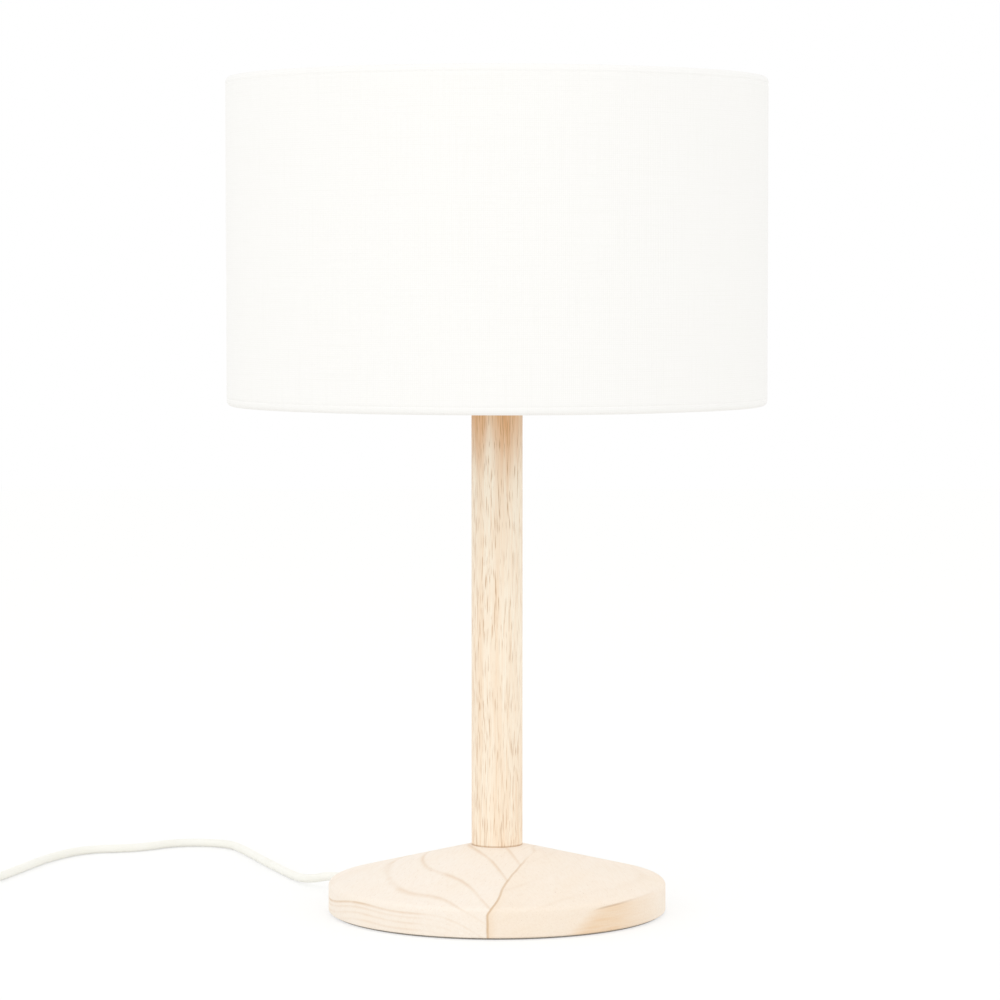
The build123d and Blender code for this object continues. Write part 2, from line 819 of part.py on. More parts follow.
coil_nodes = [coil_node(quarter) for quarter in range(-coil_half_quarters, coil_half_quarters + 1)]
coil_start = coil_entry - along * cord_diameter
coil_end = coil_exit - along * cord_diameter
with BuildPart() as cord_coil:
    with BuildLine() as coil_path:
        Line(coil_start, coil_entry)
        for (start, start_tangent), (end, end_tangent) in zip(coil_nodes, coil_nodes[1:]):
            middle, middle_tangent = biarc_middle(start, start_tangent, end, end_tangent)
            TangentArc(start, middle, tangent=start_tangent)
            TangentArc(middle, end, tangent=middle_tangent)
        Line(coil_exit, coil_end)
    with BuildSketch(Plane(origin=coil_start, z_dir=along)):
        Circle(cord_radius)
    sweep()

# Least gap between turns, on points along the coil
coil_wire = coil_path.wires()[0]
coil_length = coil_wire.length
samples_per_turn = 72
sample_count = coil_half_quarters * samples_per_turn // 2
coil_samples = [coil_wire.position_at(step / sample_count) for step in range(sample_count + 1)]
least_gap = coil_length
for index, sample in enumerate(coil_samples):
    for other in coil_samples[index + samples_per_turn // 2 :]:
        least_gap = min(least_gap, (other - sample).length - cord_diameter)
coil_share = cord_coil.part.volume / (pi * cord_radius**2 * coil_length)
print("cord_coil length", round(coil_length, 1), "volume over section times length", round(coil_share, 5))
print("  least gap between turns", round(least_gap, 3))

# Tie round the coil, a flat strap with twisted ends
tie_inner = coil_inner_radius - cord_radius - tie_clearance
tie_outer = coil_inner_radius + coil_pitch * coil_turns_in_layer + cord_radius + tie_clearance
tie_bottom = coil_low - cord_radius - tie_clearance
tie_top = coil_high + cord_radius + tie_clearance
tie_length = tie_outer - tie_inner
tie_height = tie_top - tie_bottom
tie_middle = coil_centre + along * ((tie_inner + tie_outer) / 2) + upward * ((tie_bottom + tie_top) / 2)
with BuildPart() as cord_tie:
    with BuildSketch(Plane(origin=tie_middle, x_dir=along, z_dir=aside)):
        RectangleRounded(tie_length + 2 * tie_thickness, tie_height + 2 * tie_thickness, tie_corner)
        RectangleRounded(tie_length, tie_height, tie_corner - tie_thickness, mode=Mode.SUBTRACT)
    extrude(amount=tie_width / 2, both=True)
    with BuildSketch(Plane(origin=tie_middle + along * ((tie_length + tie_thickness) / 2), z_dir=along)):
        Circle(tie_twist_diameter / 2)
    extrude(amount=tie_twist_length)

# Short stretch between the switch and the coil
link_straight = 10.0
link_drop = 15.0
link_points = [
    switch_outlet - along * switch_cord_depth + cord_axis_lift,
    switch_outlet + along * link_straight + cord_axis_lift,
    switch_outlet + along * (link_straight + link_drop) + upward * coil_low,
    coil_start,
]
cord_link, link_length = cord_tube("cord_link", link_points)

# Last stretch from the coil over the floor to the plug
plug_level = plug_thickness / 2 + floor_gap
tail_start = coil_exit - upward * coil_high


def tail_point(forward, shift, level):
    """Point of the last stretch, from under the coil's end, back along the switch and towards it."""
    return tail_start - along * forward - aside * shift + upward * level


tail_shift = 10.0
tail_mouth = 88.0
tail_points = [
    coil_end,
    tail_point(16, 0, coil_high),
    tail_point(30, 1.5, 5.8),
    tail_point(46, 4.5, lie),
    tail_point(62, 8, 3.4),
    tail_point(78, tail_shift, plug_level),
    tail_point(tail_mouth + plug_cord_depth, tail_shift, plug_level),
]
cord_tail, tail_length = cord_tube("cord_tail", tail_points)
switch_inside = switch_length - 2 * switch_cord_depth
print("lead from the base", round(lead_length + switch_inside + link_length + coil_length + tail_length))

# Switch, in two halves that part at the lead's axis
switch_cavity_length = switch_length - 2 * switch_end_wall
switch_cavity_width = switch_width - 2 * switch_side_wall
screw_x = switch_length / 2 - switch_screw_inset
screw_y = switch_width / 2 - switch_screw_inset
switch_screw_spots = [(-screw_x, screw_y), (screw_x, -screw_y)]
switch_head_depth = switch_head_height + hole_clearance
switch_screw_length = switch_height - switch_screw_cover - switch_head_depth
screw_hole_radius = switch_screw_diameter / 2 + hole_clearance
rocker_pivot = switch_middle + upward * (switch_height - rocker_pivot_depth)
rocker_corner_reach = hypot(rocker_length / 2, rocker_end_height)
rocker_corner_angle = atan2(rocker_end_height, rocker_length / 2) - radians(rocker_tilt)
window_length = 2 * (rocker_corner_reach * cos(rocker_corner_angle) + turning_clearance)
window_width = rocker_width + 2 * turning_clearance
pin_half_length = switch_cavity_width / 2 + rocker_pin_grip


def switch_at(level):
    """Level plane in the middle of the switch, with its X axis along the lead."""
    return Plane(origin=switch_middle + upward * level, x_dir=along, z_dir=upward)


with BuildPart() as switch_base:
    with BuildSketch(switch_at(0)):
        RectangleRounded(switch_length, switch_width, switch_corner)
    extrude(amount=switch_split)
    fillet(switch_base.faces().sort_by(Axis.Z)[0].edges(), switch_bottom_round)
    with BuildSketch(switch_at(switch_floor)):
        RectangleRounded(switch_cavity_length, switch_cavity_width, switch_cavity_corner)
    extrude(amount=switch_split - switch_floor, mode=Mode.SUBTRACT)
    with BuildSketch(switch_at(0)):
        with Locations(*switch_screw_spots):
            Circle(switch_head_diameter / 2 + hole_clearance)
    extrude(amount=switch_head_depth, mode=Mode.SUBTRACT)
    with BuildSketch(switch_at(0)):
        with Locations(*switch_screw_spots):
            Circle(screw_hole_radius)
    extrude(amount=switch_split, mode=Mode.SUBTRACT)
    with BuildSketch(Plane(origin=switch_inlet + cord_axis_lift, z_dir=along)):
        Circle(cord_mouth_radius)
    extrude(amount=switch_cord_depth, mode=Mode.SUBTRACT)
    with BuildSketch(Plane(origin=switch_outlet + cord_axis_lift, z_dir=-along)):
        Circle(cord_mouth_radius)
    extrude(amount=switch_cord_depth, mode=Mode.SUBTRACT)

with BuildPart() as switch_cover:
    with BuildSketch(switch_at(switch_split)):
        RectangleRounded(switch_length, switch_width, switch_corner)
    extrude(amount=switch_height - switch_split)
    fillet(switch_cover.faces().sort_by(Axis.Z)[-1].edges(), switch_top_round)
    with BuildSketch(switch_at(switch_split)):
        RectangleRounded(switch_cavity_length, switch_cavity_width, switch_cavity_corner)
    extrude(amount=switch_height - switch_roof - switch_split, mode=Mode.SUBTRACT)
    with BuildSketch(switch_at(switch_split)):
        Rectangle(window_length, window_width)
    extrude(amount=switch_height, mode=Mode.SUBTRACT)
    with BuildSketch(switch_at(0)):
        with Locations(*switch_screw_spots):
            Circle(screw_hole_radius)
    extrude(amount=switch_head_depth + switch_screw_length + hole_clearance, mode=Mode.SUBTRACT)
    with BuildSketch(Plane(origin=rocker_pivot, z_dir=aside)):
        Circle(rocker_pin_diameter / 2 + hole_clearance)
    extrude(amount=pin_half_length + hole_clearance, both=True, mode=Mode.SUBTRACT)
    with BuildSketch(Plane(origin=switch_inlet + cord_axis_lift, z_dir=along)):
        Circle(cord_mouth_radius)
    extrude(amount=switch_cord_depth, mode=Mode.SUBTRACT)
    with BuildSketch(Plane(origin=switch_outlet + cord_axis_lift, z_dir=-along)):
        Circle(cord_mouth_radius)
    extrude(amount=switch_cord_depth, mode=Mode.SUBTRACT)

# Rocker, pressed down at its outlet end, on a pin across the cover
rocker_along = along * cos(radians(rocker_tilt)) - upward * sin(radians(rocker_tilt))
with BuildPart() as switch_rocker:
    with BuildSketch(Plane(origin=rocker_pivot, x_dir=rocker_along, z_dir=aside)):
        with BuildLine():
            Polyline(
                (-rocker_length / 2, rocker_shoulder),
                (-rocker_foot_length / 2, -rocker_foot_depth),
                (rocker_foot_length / 2, -rocker_foot_depth),
                (rocker_length / 2, rocker_shoulder),
                (rocker_length / 2, rocker_end_height),
                (0, rocker_middle_height),
                (-rocker_length / 2, rocker_end_height),
                close=True,
            )
        make_face()
        Circle(rocker_pin_diameter / 2 + turning_clearance, mode=Mode.SUBTRACT)
    extrude(amount=rocker_width / 2, both=True)

with BuildPart() as rocker_pin:
    with BuildSketch(Plane(origin=rocker_pivot, z_dir=aside)):
        Circle(rocker_pin_diameter / 2)
    extrude(amount=pin_half_length, both=True)

# Screws and contact strips of the switch
switch_screws = []
for spot_x, spot_y in switch_screw_spots:
    switch_screws.append(
        headed_screw(
            switch_at(hole_clearance).from_local_coords(Vector(spot_x, spot_y, 0)),
            upward,
            switch_head_diameter,
            switch_head_height,
            switch_screw_diameter,
            switch_screw_length,
        )
    )
switch_contacts = []
for side in (-1, 1):
    contact_near = side * switch_contact_gap / 2
    contact_far = contact_near + side * switch_contact_length
    contact_inner = contact_near + side * switch_contact_thickness
    contact_level = switch_floor + switch_contact_thickness
    with BuildPart() as switch_contact:
        with BuildSketch(Plane(origin=switch_middle, x_dir=along, z_dir=aside)):
            with BuildLine():
                Polyline(
                    (contact_near, switch_floor),
                    (contact_far, switch_floor),
                    (contact_far, contact_level),
                    (contact_inner, contact_level),
                    (contact_inner, switch_floor + switch_contact_height),
                    (contact_near, switch_floor + switch_contact_height),
                    close=True,
                )
            make_face()
        extrude(amount=switch_contact_width / 2, both=True)
    switch_contacts.append(switch_contact)

# Plug: a tapered snout, a flared neck and a flat front with two pins
plug_forward = -along
plug_mouth = tail_point(tail_mouth, tail_shift, plug_level)
plug_face_distance = plug_snout_length + plug_taper_length + plug_front_length


def plug_at(distance):
    """Plane across the plug, a distance from the end of its snout, with its X axis level."""
    return Plane(origin=plug_mouth + plug_forward * distance, x_dir=aside, z_dir=plug_forward)


with BuildPart() as plug_body:
    with BuildSketch(plug_at(0)):
        Circle(cord_mouth_radius + plug_tip_wall)
    with BuildSketch(plug_at(plug_snout_length)):
        Circle(cord_mouth_radius + plug_root_wall)
    loft()
    with BuildSketch(plug_at(plug_snout_length)):
        RectangleRounded(plug_neck_width, plug_neck_thickness, plug_neck_corner)
    with BuildSketch(plug_at(plug_snout_length + plug_taper_length)):
        RectangleRounded(plug_width, plug_thickness, plug_corner)
    loft()
    with BuildSketch(plug_at(plug_snout_length + plug_taper_length)):
        RectangleRounded(plug_width, plug_thickness, plug_corner)
    extrude(amount=plug_front_length)
    with BuildSketch(plug_at(plug_face_distance - plug_pin_root)):
        with Locations((-plug_pin_spacing / 2, 0), (plug_pin_spacing / 2, 0)):
            Circle(plug_pin_root_diameter / 2 + hole_clearance)
    extrude(amount=plug_pin_root, mode=Mode.SUBTRACT)
    with BuildSketch(plug_at(0)):
        Circle(cord_mouth_radius)
    extrude(amount=plug_cord_depth, mode=Mode.SUBTRACT)

plug_pins = []
for side in (-1, 1):
    with BuildPart() as plug_pin:
        with BuildSketch(plug_at(plug_face_distance - plug_pin_root)):
            with Locations((side * plug_pin_spacing / 2, 0)):
                Circle(plug_pin_root_diameter / 2)
        extrude(amount=plug_pin_root)
        with BuildSketch(plug_at(plug_face_distance)):
            with Locations((side * plug_pin_spacing / 2, 0)):
                Circle(plug_pin_diameter / 2)
        extrude(amount=plug_pin_length)
        pin_ends = plug_pin.edges().filter_by(GeomType.CIRCLE).sort_by(Axis(plug_mouth, plug_forward))
        chamfer(pin_ends[-1], plug_pin_chamfer)
    plug_pins.append(plug_pin)

# One file for each piece
pieces = {
    "base_pad": base_pad,
    "turned_base": turned_base,
    "column": column,
    "threaded_tube": threaded_tube,
    "base_washer": base_washer,
    "base_nut": base_nut,
    "top_washer": top_washer,
    "top_nut": top_nut,
    "cord_bush": cord_bush,
    "inner_cord": inner_cord,
    "lampholder_cap": lampholder_cap,
    "cap_lock_screw": cap_lock_screw,
    "terminal_block": terminal_block,
    "centre_contact": centre_contact,
    "side_contact": side_contact,
    "terminal_screw_1": terminal_screws[0],
    "terminal_screw_2": terminal_screws[1],
    "live_wire": terminal_wires[0],
    "neutral_wire": terminal_wires[1],
    "lampholder_skirt": lampholder_skirt,
    "shade_ring": shade_ring,
    "shade_frame": shade_frame,
    "shade_top_ring": shade_top_ring,
    "shade_liner": shade_liner,
    "shade_fabric": shade_fabric,
    "bulb_contact": bulb_contact,
    "bulb_cap_insulator": bulb_cap_insulator,
    "bulb_cap": bulb_cap,
    "bulb_body": bulb_body,
    "bulb_led_board": bulb_led_board,
    "bulb_emitter": bulb_emitter,
    "bulb_driver_board": bulb_driver_board,
    "bulb_globe": bulb_globe,
    "cord_lead": cord_lead,
    "cord_link": cord_link,
    "cord_coil": cord_coil,
    "cord_tail": cord_tail,
    "cord_tie": cord_tie,
    "switch_base": switch_base,
    "switch_cover": switch_cover,
    "switch_rocker": switch_rocker,
    "rocker_pin": rocker_pin,
    "switch_screw_1": switch_screws[0],
    "switch_screw_2": switch_screws[1],
    "switch_contact_1": switch_contacts[0],
    "switch_contact_2": switch_contacts[1],
    "plug_body": plug_body,
    "plug_pin_1": plug_pins[0],
    "plug_pin_2": plug_pins[1],
}
os.makedirs("parts", exist_ok=True)
for name, piece in pieces.items():
    piece.part.label = name
    export_step(piece.part, f"parts/{name}.step")
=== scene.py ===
"""Dresses a packed table lamp: its lead, the cloth of its shade, its pad, and the finish of every piece."""
from functools import partial
from math import cos, pi, radians, sin

import bpy
from bpy.props import FloatProperty, FloatVectorProperty, PointerProperty
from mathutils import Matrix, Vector


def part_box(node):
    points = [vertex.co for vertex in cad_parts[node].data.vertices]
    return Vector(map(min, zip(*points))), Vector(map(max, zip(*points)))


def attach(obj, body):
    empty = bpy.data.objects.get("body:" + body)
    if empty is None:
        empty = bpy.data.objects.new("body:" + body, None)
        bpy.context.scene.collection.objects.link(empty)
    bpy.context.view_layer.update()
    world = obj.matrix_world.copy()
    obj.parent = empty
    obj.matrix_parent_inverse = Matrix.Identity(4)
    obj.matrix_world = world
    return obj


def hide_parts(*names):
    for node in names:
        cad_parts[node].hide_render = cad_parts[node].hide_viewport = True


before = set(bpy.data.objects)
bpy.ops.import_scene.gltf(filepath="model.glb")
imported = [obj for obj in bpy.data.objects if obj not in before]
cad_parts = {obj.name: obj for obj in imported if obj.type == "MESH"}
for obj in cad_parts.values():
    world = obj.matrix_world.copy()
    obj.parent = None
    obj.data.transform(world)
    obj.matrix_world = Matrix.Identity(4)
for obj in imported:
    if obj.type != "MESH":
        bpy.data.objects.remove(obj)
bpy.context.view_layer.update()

bl_info = {
    "name": "Table lamp",
    "version": (1, 0, 0),
    "blender": (4, 5, 0),
    "location": "3D View > Sidebar > Table lamp",
    "description": "Models the soft pieces of a table lamp and gives every piece its finish",
    "category": "Object",
}

MM = 0.001
UP = Vector((0, 0, 1))
CREASE_ANGLE = radians(35)

# Two soft lights stand in front, one on each side, and the floor lies just under the pad, in metres.
LIGHT_ASIDE = 1.33
LIGHT_AHEAD = 1.33
LIGHT_HEIGHT = 1.12
LIGHT_SIZE = 1.2
LIGHT_AIM = Vector((0, 0, 0.2))
FLOOR_SIZE = 8
FLOOR_DROP = 0.0002
# How much of the floor that is seen is white background, and how bright that is.
GLOW_SHARE = 0.55
GLOW_STRENGTH = 1.12

# The lead over the floor to the switch, in millimetres, as the solids run.
EXIT_ANGLE = radians(35)
EXIT_DIRECTION = Vector((-cos(EXIT_ANGLE), sin(EXIT_ANGLE), 0))
BUSH_REACH = 104.5
BUSH_LEVEL = 8.5
BUSH_NOSE = EXIT_DIRECTION * BUSH_REACH + UP * BUSH_LEVEL
BUSH_RUN = 14
FLOOR_RUN = (
    (-107.5, 79, 4.6), (-117, 96, 2.6), (-128, 124, 2.6), (-141.5, 160, 2.6), (-154, 196, 2.6),
    (-167, 227, 2.6), (-200, 231, 2.6), (-222, 207, 2.6), (-254, 203, 2.6), (-273, 169, 2.6),
    (-285, 125, 2.6), (-294.5, 94, 2.6),
)
SWITCH_INLET = Vector((-308, 50, 0))
SWITCH_ANGLE = radians(252.8)
SWITCH_LENGTH = 60
SWITCH_LEVEL = 6.5
SWITCH_RUN = 16
SWITCH_GRIP = 4
ALONG = Vector((cos(SWITCH_ANGLE), sin(SWITCH_ANGLE), 0))
ASIDE = ALONG.cross(UP)

# Past the switch the lead is still level at the first, and down at the coil's lower layer at the others.
LINK_LEVEL = 10
LINK_LOW = (25, 40)
# The put-away coil, in millimetres: two layers of turns, in on the lower and out on the upper.
COIL_AHEAD = 45
COIL_INNER = 19.7375
COIL_PITCH = 5.7
COIL_QUARTERS = 13
COIL_LOW = 3.7
COIL_RISE = 5.6
COIL_POINTS_A_QUARTER = 6
# From the coil to the plug, in millimetres back along the switch's line, aside and up.
TAIL_RUN = (
    (5, 0, 9.3), (16, 0, 9.3), (30, 1.5, 5.8), (46, 4.5, 2.6), (62, 8, 3.4), (78, 10, 6.9), (92, 10, 6.9),
)

# The cloth of the shade, in millimetres.
SHADE_RADIUS = 150.0
SHADE_BOTTOM = 284.0
SHADE_TOP = 465.0
SHADE_STEPS = 360
HEM_ROLL = 2.7
HEM_TUCK = 9.0
HEM_TURN = 1.35 * pi
HEM_STEPS = 14
HEM_EASE = 0.3
LINER_FACE = 148.15
# The pressed line at each hem: out from the shade's radius, and away from the roll's middle.
PRESSED_LINE = ((0.05, 0.6), (-0.22, 1.2), (0.0, 1.7))
WALL_MARGIN = 3
WALL_STEPS = 24
LAP_WIDTH = 8
LAP_RISE = 0.5
ARM_ANGLES = (30, 150, 270)
ARM_NOTCH = 2.5
# A hem is turned in this far past the roll's middle, its inner layer lies this far inside the shade's radius,
# and the outer face keeps within this of it.
PAST_ROLL = 1
INNER_LAYER = 0.8
OUTER_FACE = 0.1
# From swell to swell of the cloth, in metres.
SWELL_SPACING = 0.07

# The felt pad, in metres.
PAD_STEPS = 160
PAD_INSET = 0.0012
PAD_ROUND = 0.0004

# The base's two boards, in millimetres. Their joint is right of the axis and turned from straight back.
JOINT_OFFSET = 24.3
JOINT_TURN = radians(17.9)
RIM_LEVEL = 18.0
# Each pith lies this far across from the joint and this far below the floor. The left one leans across and
# rises as it goes back, by these shares.
LEFT_PITH = (-92.1, 93.7)
LEFT_PITH_LEAN = -0.4256
LEFT_PITH_RISE = 0.0413
RIGHT_PITH = (75, 226)
# The right board comes from further out in its log, this far beyond the same run of rings.
RIGHT_BOARD_OUT = 120.0
# A wave in the grain of both: from crest to crest, its depth, and how far left of the joint a crest lies.
GRAIN_WAVE = 60
GRAIN_WAVE_DEPTH = 1.24
GRAIN_WAVE_CREST = 22.9
# Growth rings: the radius of each about its pith, and how dark it is.
RINGS = (
    (102.5, 0.22), (106.0, 0.27), (109.1, 0.27), (111.5, 0.72), (119.4, 0.35), (127.9, 0.38), (141.0, 0.42),
    (149.5, 0.34), (158.0, 0.3), (166.0, 0.27),
)
# A ring darkens slowly outwards and ends sharply: distance from its radius, and share of its darkness.
RING_EDGES = ((-1.2, 0.0), (-0.2, 1.0), (0.6, 0.0))
RING_MARGIN = 10

# Settings that many nodes share.
ADD = {"operation": "ADD"}
TIMES = {"operation": "MULTIPLY"}
TIMES_PLUS = {"operation": "MULTIPLY_ADD"}
LARGER = {"operation": "MAXIMUM"}
SIZE = {"operation": "ABSOLUTE"}
SMOOTH = {"interpolation_type": "SMOOTHSTEP"}
COLOURS = {"data_type": "RGBA"}
VECTORS = {"data_type": "VECTOR"}
# Sockets of a Mix node, by number, because its numbers, vectors and colours share their names.
FACTOR = 0
VECTOR_A, VECTOR_B = 4, 5
COLOUR_A, COLOUR_B = 6, 7


def linear(hex_colour):
    """The linear colour of an sRGB hex value."""
    channels = [int(hex_colour[place:place + 2], 16) / 255 for place in (1, 3, 5)]
    return [part / 12.92 if part <= 0.04045 else ((part + 0.055) / 1.055) ** 2.4 for part in channels] + [1.0]


def shaded(colour, red, green, blue):
    """A linear colour with each channel scaled by a share."""
    return [part * share for part, share in zip(colour, (red, green, blue, 1.0))]


def colour_property(name, description, hex_colour):
    """A colour that a user may change."""
    return FloatVectorProperty(
        name=name, description=description, subtype="COLOR", size=4, min=0, max=1, default=linear(hex_colour)
    )


def length_property(name, description, metres):
    """A length that a user may change."""
    return FloatProperty(name=name, description=description, default=metres, unit="LENGTH")


class LampStage(bpy.types.PropertyGroup):
    """Camera, light and floor"""

    camera_distance: length_property("Camera distance", "From the lamp's axis", 2.071)
    camera_height: length_property("Camera height", "Above the floor", 0.3598)
    camera_aside: length_property("Camera aside", "Right of the lamp's axis", 0.00167)
    camera_tilt: FloatProperty(
        name="Camera tilt", description="Below level", default=radians(3.564), subtype="ANGLE"
    )
    sensor_width: FloatProperty(
        name="Sensor width", description="Of the camera", default=36.0, unit="CAMERA"
    )
    focal_length: FloatProperty(
        name="Focal length", description="Of the camera", default=133.9, unit="CAMERA"
    )
    room_level: FloatProperty(name="Room level", description="Light from all round", default=0.945, min=0)
    left_power: FloatProperty(
        name="Left light", description="Soft light in front, left", default=4.1, unit="POWER"
    )
    right_power: FloatProperty(
        name="Right light", description="Soft light in front, right", default=2.9, unit="POWER"
    )
    floor: colour_property("Floor", "Painted floor", "#F3F3F1")
    background: colour_property("Background", "Room, and what the floor shows of it", "#FFFFFF")


class LampLead(bpy.types.PropertyGroup):
    """The mains lead and its fittings"""

    diameter: length_property("Diameter", "Of the round lead", 0.005)
    sheath: colour_property("Sheath", "Soft PVC of the lead", "#FEFDF6")
    fittings: colour_property("Fittings", "Switch, plug and bush", "#F6F3E9")
    rocker: colour_property("Rocker", "Rocker of the switch", "#E4DFD1")


class LampShade(bpy.types.PropertyGroup):
    """The drum shade"""

    cloth_thickness: length_property("Cloth thickness", "Of the fabric", 0.0006)
    swell: length_property("Swell", "How far the cloth stands off here and there", 0.0003)
    thread_spacing: length_property("Thread spacing", "As drawn, from thread to thread", 0.0011)
    cloth: colour_property("Cloth", "Bleached thread", "#FBFAF8")
    hollow: colour_property("Hollows", "Cloth between the threads", "#F0EFEA")
    liner: colour_property("Liner", "Styrene sheet inside", "#F9F8F5")
    wire: colour_property("Wire", "Powder-coated frame", "#F3F2EF")


class LampWood(bpy.types.PropertyGroup):
    """Base and column"""

    pale: colour_property("Pale wood", "Left board of the base", "#FEF4E8")
    warm: colour_property("Warm wood", "Right board of the base", "#FDEFDE")
    ring: colour_property("Ring", "Late wood of a growth ring", "#E3C7A8")
    brown: colour_property("Brown wood", "Darker part of the right board", "#F3D6B4")
    glue_line: colour_property("Glue line", "Joint between the boards", "#D3B087")
    dowel: colour_property("Dowel", "Ground of the column", "#FFF3E0")
    dowel_streak: colour_property("Dowel streak", "Broad streaks of the column", "#F7DCBE")
    # The browner end of the column is partly the wood's own and partly painted shade from the lampshade
    # above.
    dowel_top_and_shade: colour_property("Dowel top", "Browner end of the column", "#E3AE7A")
    # It is also the colour of the column's thin foot line, which is painted shade in the joint.
    pore: colour_property("Pore", "Open pores of the base, and thin dark lines", "#BC9368")
    dowel_pore: colour_property("Dowel pore", "Open pores of the column", "#BC8B58")


class LampFittings(bpy.types.PropertyGroup):
    """Lampholder, bulb and pad"""

    holder: colour_property("Lampholder", "White thermoplastic", "#F5F4F2")
    globe: colour_property("Globe", "Opal diffuser", "#F8F7F3")
    pad: colour_property("Pad", "Needle felt under the base", "#B9B1A9")


def connect(node, links):
    """Links a node's sockets. A source is an output, or a node that stands for its first output in use."""
    for name, source in links.items():
        if isinstance(source, bpy.types.Node):
            source = next(output for output in source.outputs if output.enabled)
        node.id_data.links.new(source, node.inputs[name])


def add_node(tree, kind, settings=None, links=None):
    """Adds one node, sets its attributes and sockets, and links its sockets."""
    node = tree.nodes.new("ShaderNode" + kind)
    for name, value in (settings or {}).items():
        if isinstance(name, str) and hasattr(node, name):
            setattr(node, name, value)
        else:
            node.inputs[name].default_value = value
    connect(node, links or {})
    return node


def empty_tree(owner):
    """The nodes of a material or a world, cleared."""
    owner.use_nodes = True
    owner.node_tree.nodes.clear()
    return owner.node_tree


def new_material(name, settings):
    """A material, what adds nodes to it, its one shader, and the lamp's own places in millimetres."""
    material = bpy.data.materials.new(name)
    add = partial(add_node, empty_tree(material))
    shader = add("BsdfPrincipled", settings)
    add("OutputMaterial", {}, {"Surface": shader})
    coordinates = add("TexCoord")
    place = add("Mapping", {"Scale": (1 / MM, 1 / MM, 1 / MM)}, {"Vector": coordinates.outputs["Object"]})
    return material, add, shader, place


def finish_nodes(material, *names):
    """Gives CAD nodes a material."""
    for name in names:
        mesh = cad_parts[name].data
        mesh.materials.clear()
        mesh.materials.append(material)


